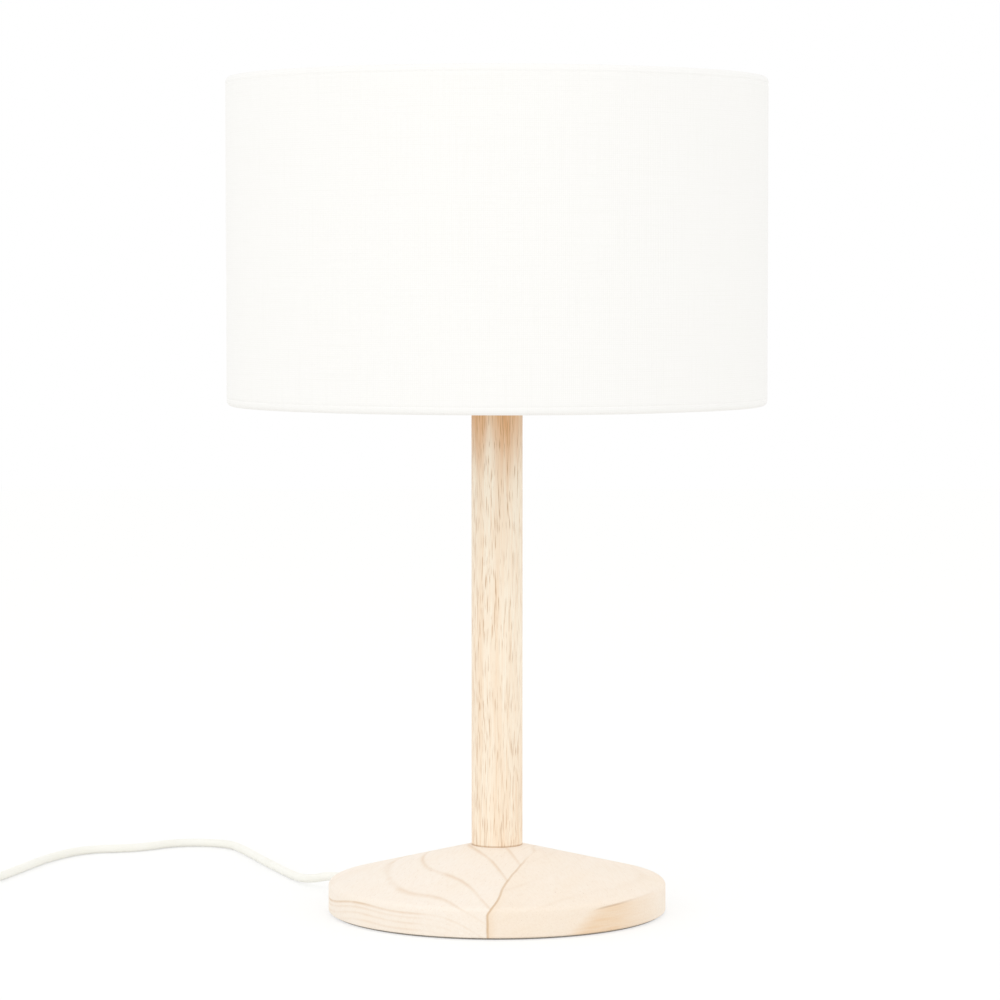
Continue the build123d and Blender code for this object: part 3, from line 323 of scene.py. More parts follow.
def rubberwood_boards(wood):
    """Two rubberwood boards glued side by side, turned and waxed."""
    # Waxed rubberwood is pale and nearly matt, with soft growth rings, short pores along the grain and a thin
    # darker glue line. The rings bend round each board's pith, far below, so they curve over cone and wall.
    material, add, shader, place = new_material(
        "rubberwood_boards_turned_waxed", {"IOR": 1.5, "Specular IOR Level": 0.3, "Roughness": 0.55}
    )
    # Across the glue line, along the grain and up.
    from_joint = {"Location": (-JOINT_OFFSET, 0, 0), "Rotation": (0, 0, JOINT_TURN)}
    board = add("Mapping", from_joint, {"Vector": place})
    across, along, up = add("SeparateXYZ", {}, {0: board}).outputs
    # The glue line bows 2 mm to the right at the rim and comes back above it.
    out = add("MapRange", {**SMOOTH, "From Min": 13.0, "From Max": RIM_LEVEL, "To Max": -2.0}, {"Value": up})
    back = add("MapRange", {**SMOOTH, "From Min": RIM_LEVEL, "From Max": 26.0, "To Max": 2.8}, {"Value": up})
    bow = add("Math", ADD, {0: out, 1: back})
    bowed = add("Math", ADD, {0: across, 1: bow})
    # It wavers by half a millimetre, as two planed edges do under a clamp.
    short = add("VectorMath", {**TIMES, 1: (1 / 40, 1 / 14, 1 / 14)}, {0: board})
    waver = add("TexNoise", {"Scale": 1.0, "Detail": 2.0}, {"Vector": short})
    waver = add("Math", {**TIMES_PLUS, 1: 1.4, 2: -0.7}, {0: waver})
    off_line = add("Math", ADD, {0: bowed, 1: waver})
    right = add("Math", {"operation": "GREATER_THAN", 1: 0.0}, {0: off_line})

    # How far each place is from its board's pith.
    from_left = add("Math", {**TIMES_PLUS, 1: -LEFT_PITH_LEAN}, {0: along, 2: across})
    over_left = add("Math", {**TIMES_PLUS, 1: -LEFT_PITH_RISE}, {0: along, 2: up})
    left_ray = add("CombineXYZ", {}, {0: from_left, 1: over_left})
    left_ray = add("VectorMath", {**ADD, 1: (-LEFT_PITH[0], LEFT_PITH[1], 0)}, {0: left_ray})
    from_right = {1: (1, 0, 1), 2: (-RIGHT_PITH[0], 0, RIGHT_PITH[1])}
    right_ray = add("VectorMath", {**TIMES_PLUS, **from_right}, {0: board})
    ray = add("Mix", VECTORS, {FACTOR: right, VECTOR_A: left_ray, VECTOR_B: right_ray})
    radius = add("VectorMath", {"operation": "LENGTH"}, {0: ray})
    radius = add("Math", {**TIMES_PLUS, 1: -RIGHT_BOARD_OUT}, {0: right, 2: radius})
    # The grain's wave goes into that, and the rings wander a little.
    phase = {1: 2 * pi / GRAIN_WAVE, 2: GRAIN_WAVE_CREST * 2 * pi / GRAIN_WAVE}
    wave = add("Math", {**TIMES_PLUS, **phase}, {0: across})
    wave = add("Math", {"operation": "COSINE"}, {0: wave})
    radius = add("Math", {**TIMES_PLUS, 1: -GRAIN_WAVE_DEPTH}, {0: wave, 2: radius})
    slow = add("VectorMath", {**TIMES, 1: (1 / 30, 1 / 60, 1 / 30)}, {0: board})
    wander = add("TexNoise", {"Scale": 1.0, "Detail": 2.0}, {"Vector": slow})
    wandered = add("Math", {**TIMES_PLUS, 1: 0.8}, {0: wander, 2: radius})
    first, last = RINGS[0][0] - RING_MARGIN, RINGS[-1][0] + RING_MARGIN
    # The wandering adds 0.4 mm on average, which is taken off here.
    across_rings = add("MapRange", {"From Min": first + 0.4, "From Max": last + 0.4}, {"Value": wandered})
    rings = add("ValToRGB", {}, {"Fac": across_rings})
    stops = rings.color_ramp.elements
    stops[0].color = stops[1].color = (0, 0, 0, 1)
    for ring_radius, darkness in RINGS:
        for offset, share in RING_EDGES:
            stop = stops.new((ring_radius + offset - first) / (last - first))
            stop.color = (darkness * share, darkness * share, darkness * share, 1)
    # The rings are faint on the right board, and on the wall by the glue line. Each varies along its length.
    fainter = add("Math", {**TIMES_PLUS, 1: -0.75, 2: 1.0}, {0: right})
    by_line = add("MapRange", {**SMOOTH, "From Min": -48.0, "From Max": -32.0}, {"Value": across})
    on_wall = add("MapRange", {**SMOOTH, "From Min": 16.5, "From Max": 14.5}, {"Value": up})
    hidden = add("Math", TIMES, {0: by_line, 1: on_wall})
    shown = add("Math", {**TIMES_PLUS, 1: -0.6, 2: 1.0}, {0: hidden})
    clouds = add("TexNoise", {"Scale": 1.7, "Detail": 3.0}, {"Vector": slow})
    uneven = {"From Min": 0.36, "From Max": 0.64, "To Min": 0.4, "To Max": 1.5}
    uneven = add("MapRange", uneven, {"Value": clouds})
    line = rings
    for part in (fainter, shown, uneven):
        line = add("Math", TIMES, {0: line, 1: part})

    # The right board is warmer, and so is the heart of the left one by the column.
    heart = {**SMOOTH, "From Min": 141.4, "From Max": 142.6, "To Max": 0.45}
    heart = add("MapRange", heart, {"Value": wandered})
    cloud = add("MapRange", {"From Min": 0.35, "From Max": 0.75, "To Max": 0.5}, {"Value": clouds})
    warmth = add("Math", {**TIMES_PLUS, 1: 0.6}, {0: right, 2: cloud})
    warmth = add("Math", {**LARGER, "use_clamp": True}, {0: warmth, 1: heart})
    ground = add("Mix", {**COLOURS, COLOUR_A: wood.pale, COLOUR_B: wood.warm}, {FACTOR: warmth})

    # Browner wood on the right board's wall. Its left edge slants, it fades to the right, and streaks about
    # 1 mm high and 20 mm long run through it.
    top_edge = add("Math", {**TIMES_PLUS, 1: -0.14}, {0: across, 2: up})
    brown = add("MapRange", {**SMOOTH, "From Min": 7.6, "From Max": 6.2}, {"Value": top_edge})
    slant = add("Math", {**TIMES_PLUS, 1: -0.8}, {0: up, 2: across})
    rightward = add("MapRange", {**SMOOTH, "From Min": 34.0, "From Max": 46.0}, {"Value": slant})
    fade = {**SMOOTH, "From Min": 56.0, "From Max": 70.0, "To Min": 1.0, "To Max": 0.3}
    fade = add("MapRange", fade, {"Value": across})
    streak_scale = add("VectorMath", {**TIMES, 1: (1 / 20, 1 / 20, 1.0)}, {0: board})
    streaks = add("TexNoise", {"Scale": 1.0, "Detail": 2.0}, {"Vector": streak_scale})
    streaky = {"From Min": 0.3, "From Max": 0.7, "To Min": 0.6, "To Max": 1.0}
    streaky = add("MapRange", streaky, {"Value": streaks})
    for part in (rightward, fade, streaky):
        brown = add("Math", TIMES, {0: brown, 1: part})
    # The rest of that wall is a little brown too, most of all beside the glue line.
    beside = {**SMOOTH, "From Min": 6.0, "From Max": 0.0, "To Min": 0.08, "To Max": 0.45}
    beside = add("MapRange", beside, {"Value": off_line})
    low_down = add("MapRange", {"From Min": 24.0, "From Max": 12.0}, {"Value": up})
    beside = add("Math", TIMES, {0: beside, 1: low_down})
    brown = add("Math", LARGER, {0: brown, 1: beside})
    front = add("MapRange", {**SMOOTH, "From Min": 2.0, "From Max": -24.0}, {"Value": along})
    for part in (right, front):
        brown = add("Math", TIMES, {0: brown, 1: part})
    # A dark line runs along the top of the brown wood, and fades to the right.
    from_top = add("Math", {"operation": "SUBTRACT", 1: 6.9}, {0: top_edge})
    from_top = add("Math", SIZE, {0: from_top})
    top_line = {**SMOOTH, "From Min": 0.9, "From Max": 0.1, "To Max": 0.6}
    top_line = add("MapRange", top_line, {"Value": from_top})
    line_start = add("MapRange", {**SMOOTH, "From Min": 49.0, "From Max": 55.0}, {"Value": across})
    line_end = {**SMOOTH, "From Min": 57.0, "From Max": 68.0, "To Min": 1.0, "To Max": 0.2}
    line_end = add("MapRange", line_end, {"Value": across})
    for part in (line_start, line_end, streaky, front):
        top_line = add("Math", TIMES, {0: top_line, 1: part})

    # Fibres about 1 mm wide, and pores about 0.5 mm wide and 10 mm long, twice as wide as real ones so that
    # they show. The right board's grain runs the other way.
    other_grain = add("Mapping", {"Rotation": (0, 0, radians(-16))}, {"Vector": place})
    grain = add("Mix", VECTORS, {FACTOR: right, VECTOR_A: board, VECTOR_B: other_grain})
    fibre_scale = add("VectorMath", {**TIMES, 1: (1.0, 1 / 40, 1.0)}, {0: grain})
    fibre = add("TexNoise", {"Scale": 1.0, "Detail": 3.0}, {"Vector": fibre_scale})
    fibre_tone = add("MapRange", {"From Min": 0.42, "From Max": 0.8, "To Max": 0.16}, {"Value": fibre})
    pore_scale = add("VectorMath", {**TIMES, 1: (1 / 0.5, 1 / 10, 1 / 0.5)}, {0: grain})
    pores = add("TexNoise", {"Scale": 1.0, "Detail": 1.0}, {"Vector": pore_scale})
    pore = add("MapRange", {**SMOOTH, "From Min": 0.68, "From Max": 0.8, "To Max": 0.35}, {"Value": pores})

    # The glue line is drawn 1.2 mm wide, wider than a real one. It shows most on the wall and closes by the
    # column.
    either_side = add("Math", SIZE, {0: off_line})
    glue = {**SMOOTH, "From Min": 0.2, "From Max": 1.0, "To Min": 1.0, "To Max": 0.0}
    glue = add("MapRange", glue, {"Value": either_side})
    strong = {"From Min": 34.0, "From Max": 14.0, "To Min": 0.4, "To Max": 0.78}
    broken = {"From Min": 0.3, "From Max": 0.6, "To Min": 0.6, "To Max": 1.0}
    opened = {"From Min": 14.0, "From Max": 28.0, "To Min": 0.2, "To Max": 1.0}
    from_column = add("Math", SIZE, {0: along})
    for share, source in ((strong, up), (broken, clouds), (opened, from_column)):
        glue = add("Math", TIMES, {0: glue, 1: add("MapRange", share, {"Value": source})})

    # Each tone lies over the ones before it.
    colour = ground
    for tone, share in (
        (wood.ring, line), (wood.brown, brown), (wood.pore, top_line), (wood.ring, fibre_tone),
        (wood.pore, pore), (wood.glue_line, glue),
    ):
        colour = add("Mix", {**COLOURS, COLOUR_B: tone}, {FACTOR: share, COLOUR_A: colour})
    rough = add("MapRange", {"To Min": 0.46, "To Max": 0.66}, {"Value": fibre})
    hollow = add("Math", {**TIMES_PLUS, 1: 0.35}, {0: fibre, 2: pore})
    bump = add("Bump", {"Strength": 0.2, "Distance": 0.00008, "invert": True}, {"Height": hollow})
    connect(shader, {"Base Color": colour, "Roughness": rough, "Normal": bump})
    return material


def rubberwood_dowel(wood):
    """A planed rubberwood dowel with its grain upright, waxed."""
    # A waxed dowel has long soft streaks and many thin brown pores along it, and is browner at its top.
    # Its browner top is partly its own colour and partly painted shade from the lampshade above.
    material, add, shader, place = new_material(
        "rubberwood_dowel_planed_waxed", {"IOR": 1.5, "Specular IOR Level": 0.3, "Roughness": 0.5}
    )
    # Its grain sways within 4 mm, and its streaks are about 5 mm wide and 120 mm long.
    slow = add("VectorMath", {**TIMES, 1: (1 / 24, 1 / 24, 1 / 70)}, {0: place})
    bend = add("TexNoise", {"Scale": 1.0, "Detail": 1.0}, {"Vector": slow})
    sway = add("VectorMath", {**TIMES_PLUS, 1: (4.0, 4.0, 0.0)}, {0: bend.outputs["Color"], 2: place})
    streak_scale = add("VectorMath", {**TIMES, 1: (1 / 5, 1 / 5, 1 / 120)}, {0: sway})
    streaks = add("TexNoise", {"Scale": 1.0, "Detail": 3.0}, {"Vector": streak_scale})
    streak = {**SMOOTH, "From Min": 0.42, "From Max": 0.75, "To Max": 0.6}
    streak = add("MapRange", streak, {"Value": streaks})
    sideways, _, height = add("SeparateXYZ", {}, {0: place}).outputs
    # The brown of its top, partly painted shade from the lampshade, comes down further in the streaks.
    ragged = add("Math", {**TIMES_PLUS, 1: 70.0}, {0: streaks, 2: height})
    brown_top_and_shade = add("MapRange", {**SMOOTH, "From Min": 271.0, "From Max": 325.0}, {"Value": ragged})
    ground = add("Mix", {**COLOURS, COLOUR_A: wood.dowel, COLOUR_B: wood.dowel_streak}, {FACTOR: streak})
    # Fibres 0.8 mm wide and 26 mm long.
    fibre_scale = add("VectorMath", {**TIMES, 1: (1 / 0.8, 1 / 0.8, 1 / 26)}, {0: sway})
    fibre = add("TexNoise", {"Scale": 1.0, "Detail": 2.0}, {"Vector": fibre_scale})
    fibre_tone = add("MapRange", {"From Min": 0.42, "From Max": 0.72, "To Max": 0.5}, {"Value": fibre})
    # Pores are drawn 0.4 mm wide, nearly twice the real width, so that they show. They crowd in the streaks,
    # at the top and on the side that was nearer the heart.
    pore_scale = add("VectorMath", {**TIMES, 1: (1 / 0.4, 1 / 0.4, 1 / 14)}, {0: sway})
    pores = add("TexNoise", {"Scale": 1.0, "Detail": 1.0}, {"Vector": pore_scale})
    heartward = {**SMOOTH, "From Min": 2.0, "From Max": -12.0, "To Max": 0.6}
    heartward = add("MapRange", heartward, {"Value": sideways})
    crowd = streak
    # Crowding at the top adds to the painted shade there.
    for part in (brown_top_and_shade, heartward):
        crowd = add("Math", LARGER, {0: crowd, 1: part})
    crowd = add("Math", {**TIMES_PLUS, 1: 0.065}, {0: crowd, 2: pores})
    pore = add("MapRange", {**SMOOTH, "From Min": 0.58, "From Max": 0.74, "To Max": 0.7}, {"Value": crowd})
    # A thin dark line where it stands in the base: painted shade in the joint.
    foot = add("MapRange", {**SMOOTH, "From Min": 38.6, "From Max": 37.9, "To Max": 0.6}, {"Value": height})
    # Each tone lies over the ones before it.
    colour = ground
    for tone, share in (
        (wood.dowel_top_and_shade, brown_top_and_shade), (wood.dowel_streak, fibre_tone), (wood.dowel_pore, pore), (wood.pore, foot),
    ):
        colour = add("Mix", {**COLOURS, COLOUR_B: tone}, {FACTOR: share, COLOUR_A: colour})
    rough = add("MapRange", {"To Min": 0.42, "To Max": 0.62}, {"Value": fibre})
    bump = add("Bump", {"Strength": 0.3, "Distance": 0.0001, "invert": True}, {"Height": pore})
    connect(shader, {"Base Color": colour, "Roughness": rough, "Normal": bump})
    return material


def woven_cotton(shade):
    """Bleached plain-weave cotton, stretched over the shade."""
    # Cotton is matt and soft-edged, with threads both ways, here and there a thicker one, and a faint bloom
    # where it is seen edge on.
    material, add, shader, place = new_material(
        "cotton_plain_weave_bleached",
        {"Roughness": 0.9, "Specular IOR Level": 0.15, "Sheen Weight": 0.12, "Sheen Roughness": 0.5},
    )
    x, y, z = add("SeparateXYZ", {}, {0: place}).outputs
    angle = add("Math", {"operation": "ARCTAN2"}, {0: x, 1: y})
    round_it = add("Math", {**TIMES, 1: SHADE_RADIUS}, {0: angle})
    cloth = add("CombineXYZ", {}, {0: round_it, 1: z})
    # Real threads are about 0.5 mm apart, too fine to show, so they are drawn about 1.1 mm apart.
    turns = pi / (shade.thread_spacing / MM)
    threads = []
    for direction in (round_it, z):
        phase = add("Math", {**TIMES, 1: turns}, {0: direction})
        threads.append(add("Math", {"operation": "SINE"}, {0: phase}))
    weave = add("Math", TIMES, {0: threads[0], 1: threads[1]})
    weave = add("Math", SIZE, {0: weave})
    # Thicker threads, 1 mm wide and some 40 mm long, up the shade and round it.
    thick = []
    for scale in ((1.0, 1 / 40, 1.0), (1 / 40, 1.0, 1.0)):
        drawn_out = add("VectorMath", {**TIMES, 1: scale}, {0: cloth})
        thick.append(add("TexNoise", {"Scale": 1.0, "Detail": 2.0}, {"Vector": drawn_out}))
    slub = add("Math", LARGER, {0: thick[0], 1: thick[1]})
    slub_tone = add("MapRange", {"From Min": 0.45, "From Max": 0.8, "To Max": 0.2}, {"Value": slub})
    dip = add("MapRange", {"From Min": 0.3, "From Max": 0.0, "To Max": 0.22}, {"Value": weave})
    tone = add("Math", ADD, {0: slub_tone, 1: dip})
    colour = add("Mix", {**COLOURS, COLOUR_A: shade.cloth, COLOUR_B: shade.hollow}, {FACTOR: tone})
    rise = add("Math", {**TIMES_PLUS, 1: 0.8}, {0: slub, 2: weave})
    bump = add("Bump", {"Strength": 0.2, "Distance": 0.0001}, {"Height": rise})
    connect(shader, {"Base Color": colour, "Normal": bump})
    return material


def needle_felt(fittings):
    """Grey-brown needle felt, cut to a disc."""
    # Felt is dull, flecked about every millimetre with lighter and darker fibres, and a little furry.
    material, add, shader, place = new_material(
        "needle_felt_cut",
        {"Roughness": 0.95, "Specular IOR Level": 0.1, "Sheen Weight": 0.3, "Sheen Roughness": 0.6},
    )
    fleck = add("TexNoise", {"Scale": 0.9, "Detail": 4.0, "Distortion": 1.5}, {"Vector": place})
    darker = shaded(fittings.pad, 0.55, 0.55, 0.55)
    colour = add("Mix", {**COLOURS, COLOUR_A: darker, COLOUR_B: fittings.pad}, {FACTOR: fleck})
    bump = add("Bump", {"Strength": 0.6, "Distance": 0.0003}, {"Height": fleck})
    connect(shader, {"Base Color": colour, "Normal": bump})
    return material


def moulded(name, colour, roughness, grit):
    """Moulded plastic, with a spark-eroded texture whose grit is in millimetres."""
    # Moulded plastic is even and softly shiny, with a fine pebbled skin, and clouds about 8 mm wide in its
    # gloss.
    material, add, shader, place = new_material(name, {"IOR": 1.53, "Roughness": roughness})
    cloud = add("TexNoise", {"Scale": 0.12, "Detail": 2.0}, {"Vector": place})
    spread = add("MapRange", {"From Min": 0.3, "From Max": 0.7, "To Max": 0.5}, {"Value": cloud})
    darker = shaded(colour, 0.95, 0.95, 0.95)
    mixed = add("Mix", {**COLOURS, COLOUR_A: colour, COLOUR_B: darker}, {FACTOR: spread})
    gloss = add("MapRange", {"To Min": roughness - 0.07, "To Max": roughness + 0.07}, {"Value": cloud})
    skin = add("TexNoise", {"Scale": 1 / grit, "Detail": 2.0}, {"Vector": place})
    bump = add("Bump", {"Strength": 0.12, "Distance": 0.00006}, {"Height": skin})
    connect(shader, {"Base Color": mixed, "Roughness": gloss, "Normal": bump})
    return material


def plated(name, colour, roughness, dull):
    """Plated or bare metal, with patches where it is duller."""
    # Plating is bright with a faint frosting, stains about 3 mm wide, and hair scratches 2.5 mm long that
    # catch the light.
    material, add, shader, place = new_material(name, {"Metallic": 1.0, "Roughness": roughness})
    stain = add("TexNoise", {"Scale": 0.35, "Detail": 4.0}, {"Vector": place})
    spread = add("MapRange", {"From Min": 0.4, "From Max": 0.7}, {"Value": stain})
    mixed = add("Mix", {**COLOURS, COLOUR_A: colour, COLOUR_B: dull}, {FACTOR: spread})
    scratch_scale = add("VectorMath", {**TIMES, 1: (1 / 2.5, 1 / 2.5, 6.0)}, {0: place})
    scratch = add("TexNoise", {"Scale": 1.0, "Detail": 3.0}, {"Vector": scratch_scale})
    gloss = add("MapRange", {"To Min": roughness - 0.1, "To Max": roughness + 0.14}, {"Value": scratch})
    bump = add("Bump", {"Strength": 0.08, "Distance": 0.00005}, {"Height": scratch})
    connect(shader, {"Base Color": mixed, "Roughness": gloss, "Normal": bump})
    return material


def soft_pvc(name, colour):
    """Extruded soft PVC, as on a lead or a wire."""
    # Soft PVC has a waxy sheen, a drawn skin with faint ripples about 2 mm long, and a touch of handling
    # grime in patches about 17 mm wide.
    material, add, shader, place = new_material(name, {"IOR": 1.53, "Roughness": 0.42})
    grime = add("TexNoise", {"Scale": 0.06, "Detail": 3.0}, {"Vector": place})
    spread = add("MapRange", {"From Min": 0.42, "From Max": 0.75, "To Max": 0.7}, {"Value": grime})
    duller = shaded(colour, 0.97, 0.965, 0.94)
    mixed = add("Mix", {**COLOURS, COLOUR_A: colour, COLOUR_B: duller}, {FACTOR: spread})
    gloss = add("MapRange", {"To Min": 0.34, "To Max": 0.52}, {"Value": grime})
    skin = add("TexNoise", {"Scale": 1 / 2, "Detail": 2.0}, {"Vector": place})
    bump = add("Bump", {"Strength": 0.1, "Distance": 0.0001}, {"Height": skin})
    connect(shader, {"Base Color": mixed, "Roughness": gloss, "Normal": bump})
    return material


def powder_coat(shade):
    """White powder coat on steel wire."""
    # Powder coat is thick and softly glossy, with an orange-peel skin about 1 mm from bump to bump.
    material, add, shader, place = new_material("powder_coated_steel_wire", {"IOR": 1.5, "Roughness": 0.36})
    peel = add("TexNoise", {"Scale": 1.0, "Detail": 1.0}, {"Vector": place})
    worn = shaded(shade.wire, 0.86, 0.86, 0.86)
    mixed = add("Mix", {**COLOURS, COLOUR_A: worn, COLOUR_B: shade.wire}, {FACTOR: peel})
    gloss = add("MapRange", {"To Min": 0.28, "To Max": 0.46}, {"Value": peel})
    bump = add("Bump", {"Strength": 0.15, "Distance": 0.0001}, {"Height": peel})
    connect(shader, {"Base Color": mixed, "Roughness": gloss, "Normal": bump})
    return material


def styrene_sheet(shade):
    """Rolled white styrene sheet."""
    # The liner is smooth and satin, with faint drawn lines up it from the rollers, 3 mm wide and 250 mm long.
    material, add, shader, place = new_material(
        "styrene_sheet_rolled", {"IOR": 1.59, "Roughness": 0.5, "Specular IOR Level": 0.35}
    )
    drawn = add("VectorMath", {**TIMES, 1: (0.35, 0.35, 1 / 250)}, {0: place})
    lines = add("TexNoise", {"Scale": 1.0, "Detail": 3.0}, {"Vector": drawn})
    duller = shaded(shade.liner, 0.93, 0.93, 0.93)
    mixed = add("Mix", {**COLOURS, COLOUR_A: duller, COLOUR_B: shade.liner}, {FACTOR: lines})
    gloss = add("MapRange", {"To Min": 0.42, "To Max": 0.58}, {"Value": lines})
    bump = add("Bump", {"Strength": 0.08, "Distance": 0.0001}, {"Height": lines})
    connect(shader, {"Base Color": mixed, "Roughness": gloss, "Normal": bump})
    return material


def opal_diffuser(fittings):
    """Blown opal polycarbonate."""
    # An opal globe is milky: light goes into it and comes out soft, under a thin gloss. Its milkiness varies
    # in patches about 12 mm wide.
    material, add, shader, place = new_material(
        "opal_polycarbonate_blown",
        {
            "IOR": 1.58, "Roughness": 0.3, "Subsurface Weight": 0.3, "Subsurface Scale": 0.001,
            "Subsurface Radius": (1.0, 1.0, 1.0),
        },
    )
    milk = add("TexNoise", {"Scale": 0.08, "Detail": 2.0}, {"Vector": place})
    cooler = shaded(fittings.globe, 0.96, 0.965, 0.97)
    mixed = add("Mix", {**COLOURS, COLOUR_A: cooler, COLOUR_B: fittings.globe}, {FACTOR: milk})
    gloss = add("MapRange", {"To Min": 0.24, "To Max": 0.38}, {"Value": milk})
    connect(shader, {"Base Color": mixed, "Roughness": gloss})
    return material


def circuit_board(name, mask, trace):
    """Circuit board with solder mask over its copper."""
    # Solder mask is glossy, and changes shade over the copper tracks, which stand a little proud. They are
    # 1 mm apart one way and 2 mm the other: at a scale of 1 the pattern's rows are a quarter as far apart.
    material, add, shader, place = new_material(name, {"IOR": 1.5, "Roughness": 0.3})
    tracks = add(
        "TexBrick",
        {"Color1": mask, "Color2": mask, "Mortar": trace, "Scale": 0.25, "Mortar Size": 0.06, "offset": 0.5},
        {"Vector": place},
    )
    bump = add("Bump", {"Strength": 0.3, "Distance": 0.00005}, {"Height": tracks.outputs["Fac"]})
    connect(shader, {"Base Color": tracks.outputs["Color"], "Normal": bump})
    return material


def phosphor_gel():
    """Yellow phosphor in silicone."""
    # Phosphor gel is matt, strong yellow and speckled with grains, about 0.4 mm apart.
    material, add, shader, place = new_material("phosphor_in_silicone", {"IOR": 1.41, "Roughness": 0.5})
    grains = add("TexNoise", {"Scale": 1 / 0.4, "Detail": 3.0}, {"Vector": place})
    colours = {COLOUR_A: linear("#E0B23C"), COLOUR_B: linear("#F3D561")}
    mixed = add("Mix", {**COLOURS, **colours}, {FACTOR: grains})
    connect(shader, {"Base Color": mixed})
    return material


def seen_rays(add):
    """One where a surface is seen, straight, mirrored or through glass, and nought where it only lights."""
    path = add("LightPath")
    seen = path.outputs["Is Camera Ray"]
    for kind in ("Is Glossy Ray", "Is Transmission Ray"):
        seen = add("Math", LARGER, {0: seen, 1: path.outputs[kind]})
    return seen


def clear_selection():
    """Leaves nothing selected, so an operator acts on the new piece alone."""
    if bpy.context.object and bpy.context.object.mode != "OBJECT":
        bpy.ops.object.mode_set(mode="OBJECT")
    bpy.ops.object.select_all(action="DESELECT")


def select_piece(piece):
    """Selects one piece alone and makes it active."""
    clear_selection()
    piece.select_set(True)
    bpy.context.view_layer.objects.active = piece


def turned_sheet(name, profile, steps):
    """Pulls a ring of edges along a profile of (radius, height) points, about the lamp's axis."""
    clear_selection()
    radius, height = profile[0]
    bpy.ops.mesh.primitive_circle_add(vertices=steps, radius=radius, location=(0, 0, height))
    bpy.ops.object.transform_apply(location=True, rotation=True, scale=True)
    piece = bpy.context.object
    piece.name = name
    bpy.ops.object.mode_set(mode="EDIT")
    bpy.ops.mesh.select_all(action="SELECT")
    for next_radius, next_height in profile[1:]:
        bpy.ops.mesh.extrude_region_move(TRANSFORM_OT_translate={"value": (0, 0, next_height - height)})
        widen = next_radius / radius
        bpy.ops.transform.resize(value=(widen, widen, 1), center_override=(0, 0, 0))
        radius, height = next_radius, next_height
    bpy.ops.object.mode_set(mode="OBJECT")
    return piece


def apply_all(piece):
    """Applies the piece's modifiers in order."""
    select_piece(piece)
    for modifier in list(piece.modifiers):
        bpy.ops.object.modifier_apply(modifier=modifier.name)


def select_faces(piece, wanted):
    """Selects the faces whose middle passes a test, and leaves edit mode open on them."""
    select_piece(piece)
    bpy.ops.object.mode_set(mode="EDIT")
    bpy.ops.mesh.select_all(action="DESELECT")
    bpy.ops.mesh.select_mode(type="FACE")
    bpy.ops.object.mode_set(mode="OBJECT")
    for face in piece.data.polygons:
        face.select = wanted(face.center, face.normal)
    bpy.ops.object.mode_set(mode="EDIT")


def lay_cord(name, route, diameter):
    """A round cord on a NURBS line that has the route's points as its control points."""
    curve = bpy.data.curves.new(name, "CURVE")
    curve.dimensions = "3D"
    curve.resolution_u = 8
    curve.bevel_depth = diameter / 2
    curve.bevel_resolution = 6
    curve.use_fill_caps = True
    line = curve.splines.new("NURBS")
    line.points.add(len(route) - 1)
    for point, place in zip(line.points, route):
        point.co = (*(place * MM), 1.0)
    line.order_u = 3
    line.use_endpoint_u = True
    cord = bpy.data.objects.new(name, curve)
    bpy.context.collection.objects.link(cord)
    return cord


class LAMP_OT_stage(bpy.types.Operator):
    """Add the camera, the soft light and the pale floor"""

    bl_idname = "lamp.stage"
    bl_label = "Stage"

    def execute(self, context):
        stage = context.scene.lamp_stage
        clear_selection()
        bpy.ops.object.camera_add(
            location=(stage.camera_aside, -stage.camera_distance, stage.camera_height),
            rotation=(pi / 2 - stage.camera_tilt, 0, 0),
        )
        camera = context.object
        camera.data.sensor_width = stage.sensor_width
        camera.data.lens = stage.focal_length
        context.scene.camera = camera
        context.scene.view_settings.view_transform = "Standard"

        world = bpy.data.worlds.new("soft_white_room")
        context.scene.world = world
        add = partial(add_node, empty_tree(world))
        level = add("Math", {**LARGER, 1: stage.room_level}, {0: seen_rays(add)})
        white = add("Background", {"Color": stage.background}, {"Strength": level})
        add("OutputWorld", {}, {"Surface": white})

        for side, power in ((-1, stage.left_power), (1, stage.right_power)):
            bpy.ops.object.light_add(type="AREA", location=(LIGHT_ASIDE * side, -LIGHT_AHEAD, LIGHT_HEIGHT))
            light = context.object
            light.rotation_euler = (LIGHT_AIM - light.location).to_track_quat("-Z", "Y").to_euler()
            light.data.size = LIGHT_SIZE
            light.data.energy = power

        clear_selection()
        bpy.ops.mesh.primitive_plane_add(size=FLOOR_SIZE, location=(0, 0, -FLOOR_DROP))
        bpy.ops.object.transform_apply(location=True, rotation=True, scale=True)
        floor = context.object
        floor.name = "floor"
        floor.data.materials.append(self.floor_paint(stage))
        return {"FINISHED"}

    def floor_paint(self, stage):
        """Matt white paint. What is seen of it is mostly white background, and a part takes shadow."""
        material = bpy.data.materials.new("matt_white_floor_paint")
        add = partial(add_node, empty_tree(material))
        paint = add("BsdfDiffuse", {"Color": stage.floor})
        glow = add("Emission", {"Color": stage.background, "Strength": GLOW_STRENGTH})
        lit = add("MixShader", {0: GLOW_SHARE}, {1: paint, 2: glow})
        either = add("MixShader", {}, {0: seen_rays(add), 1: paint, 2: lit})
        add("OutputMaterial", {}, {"Surface": either})
        return material


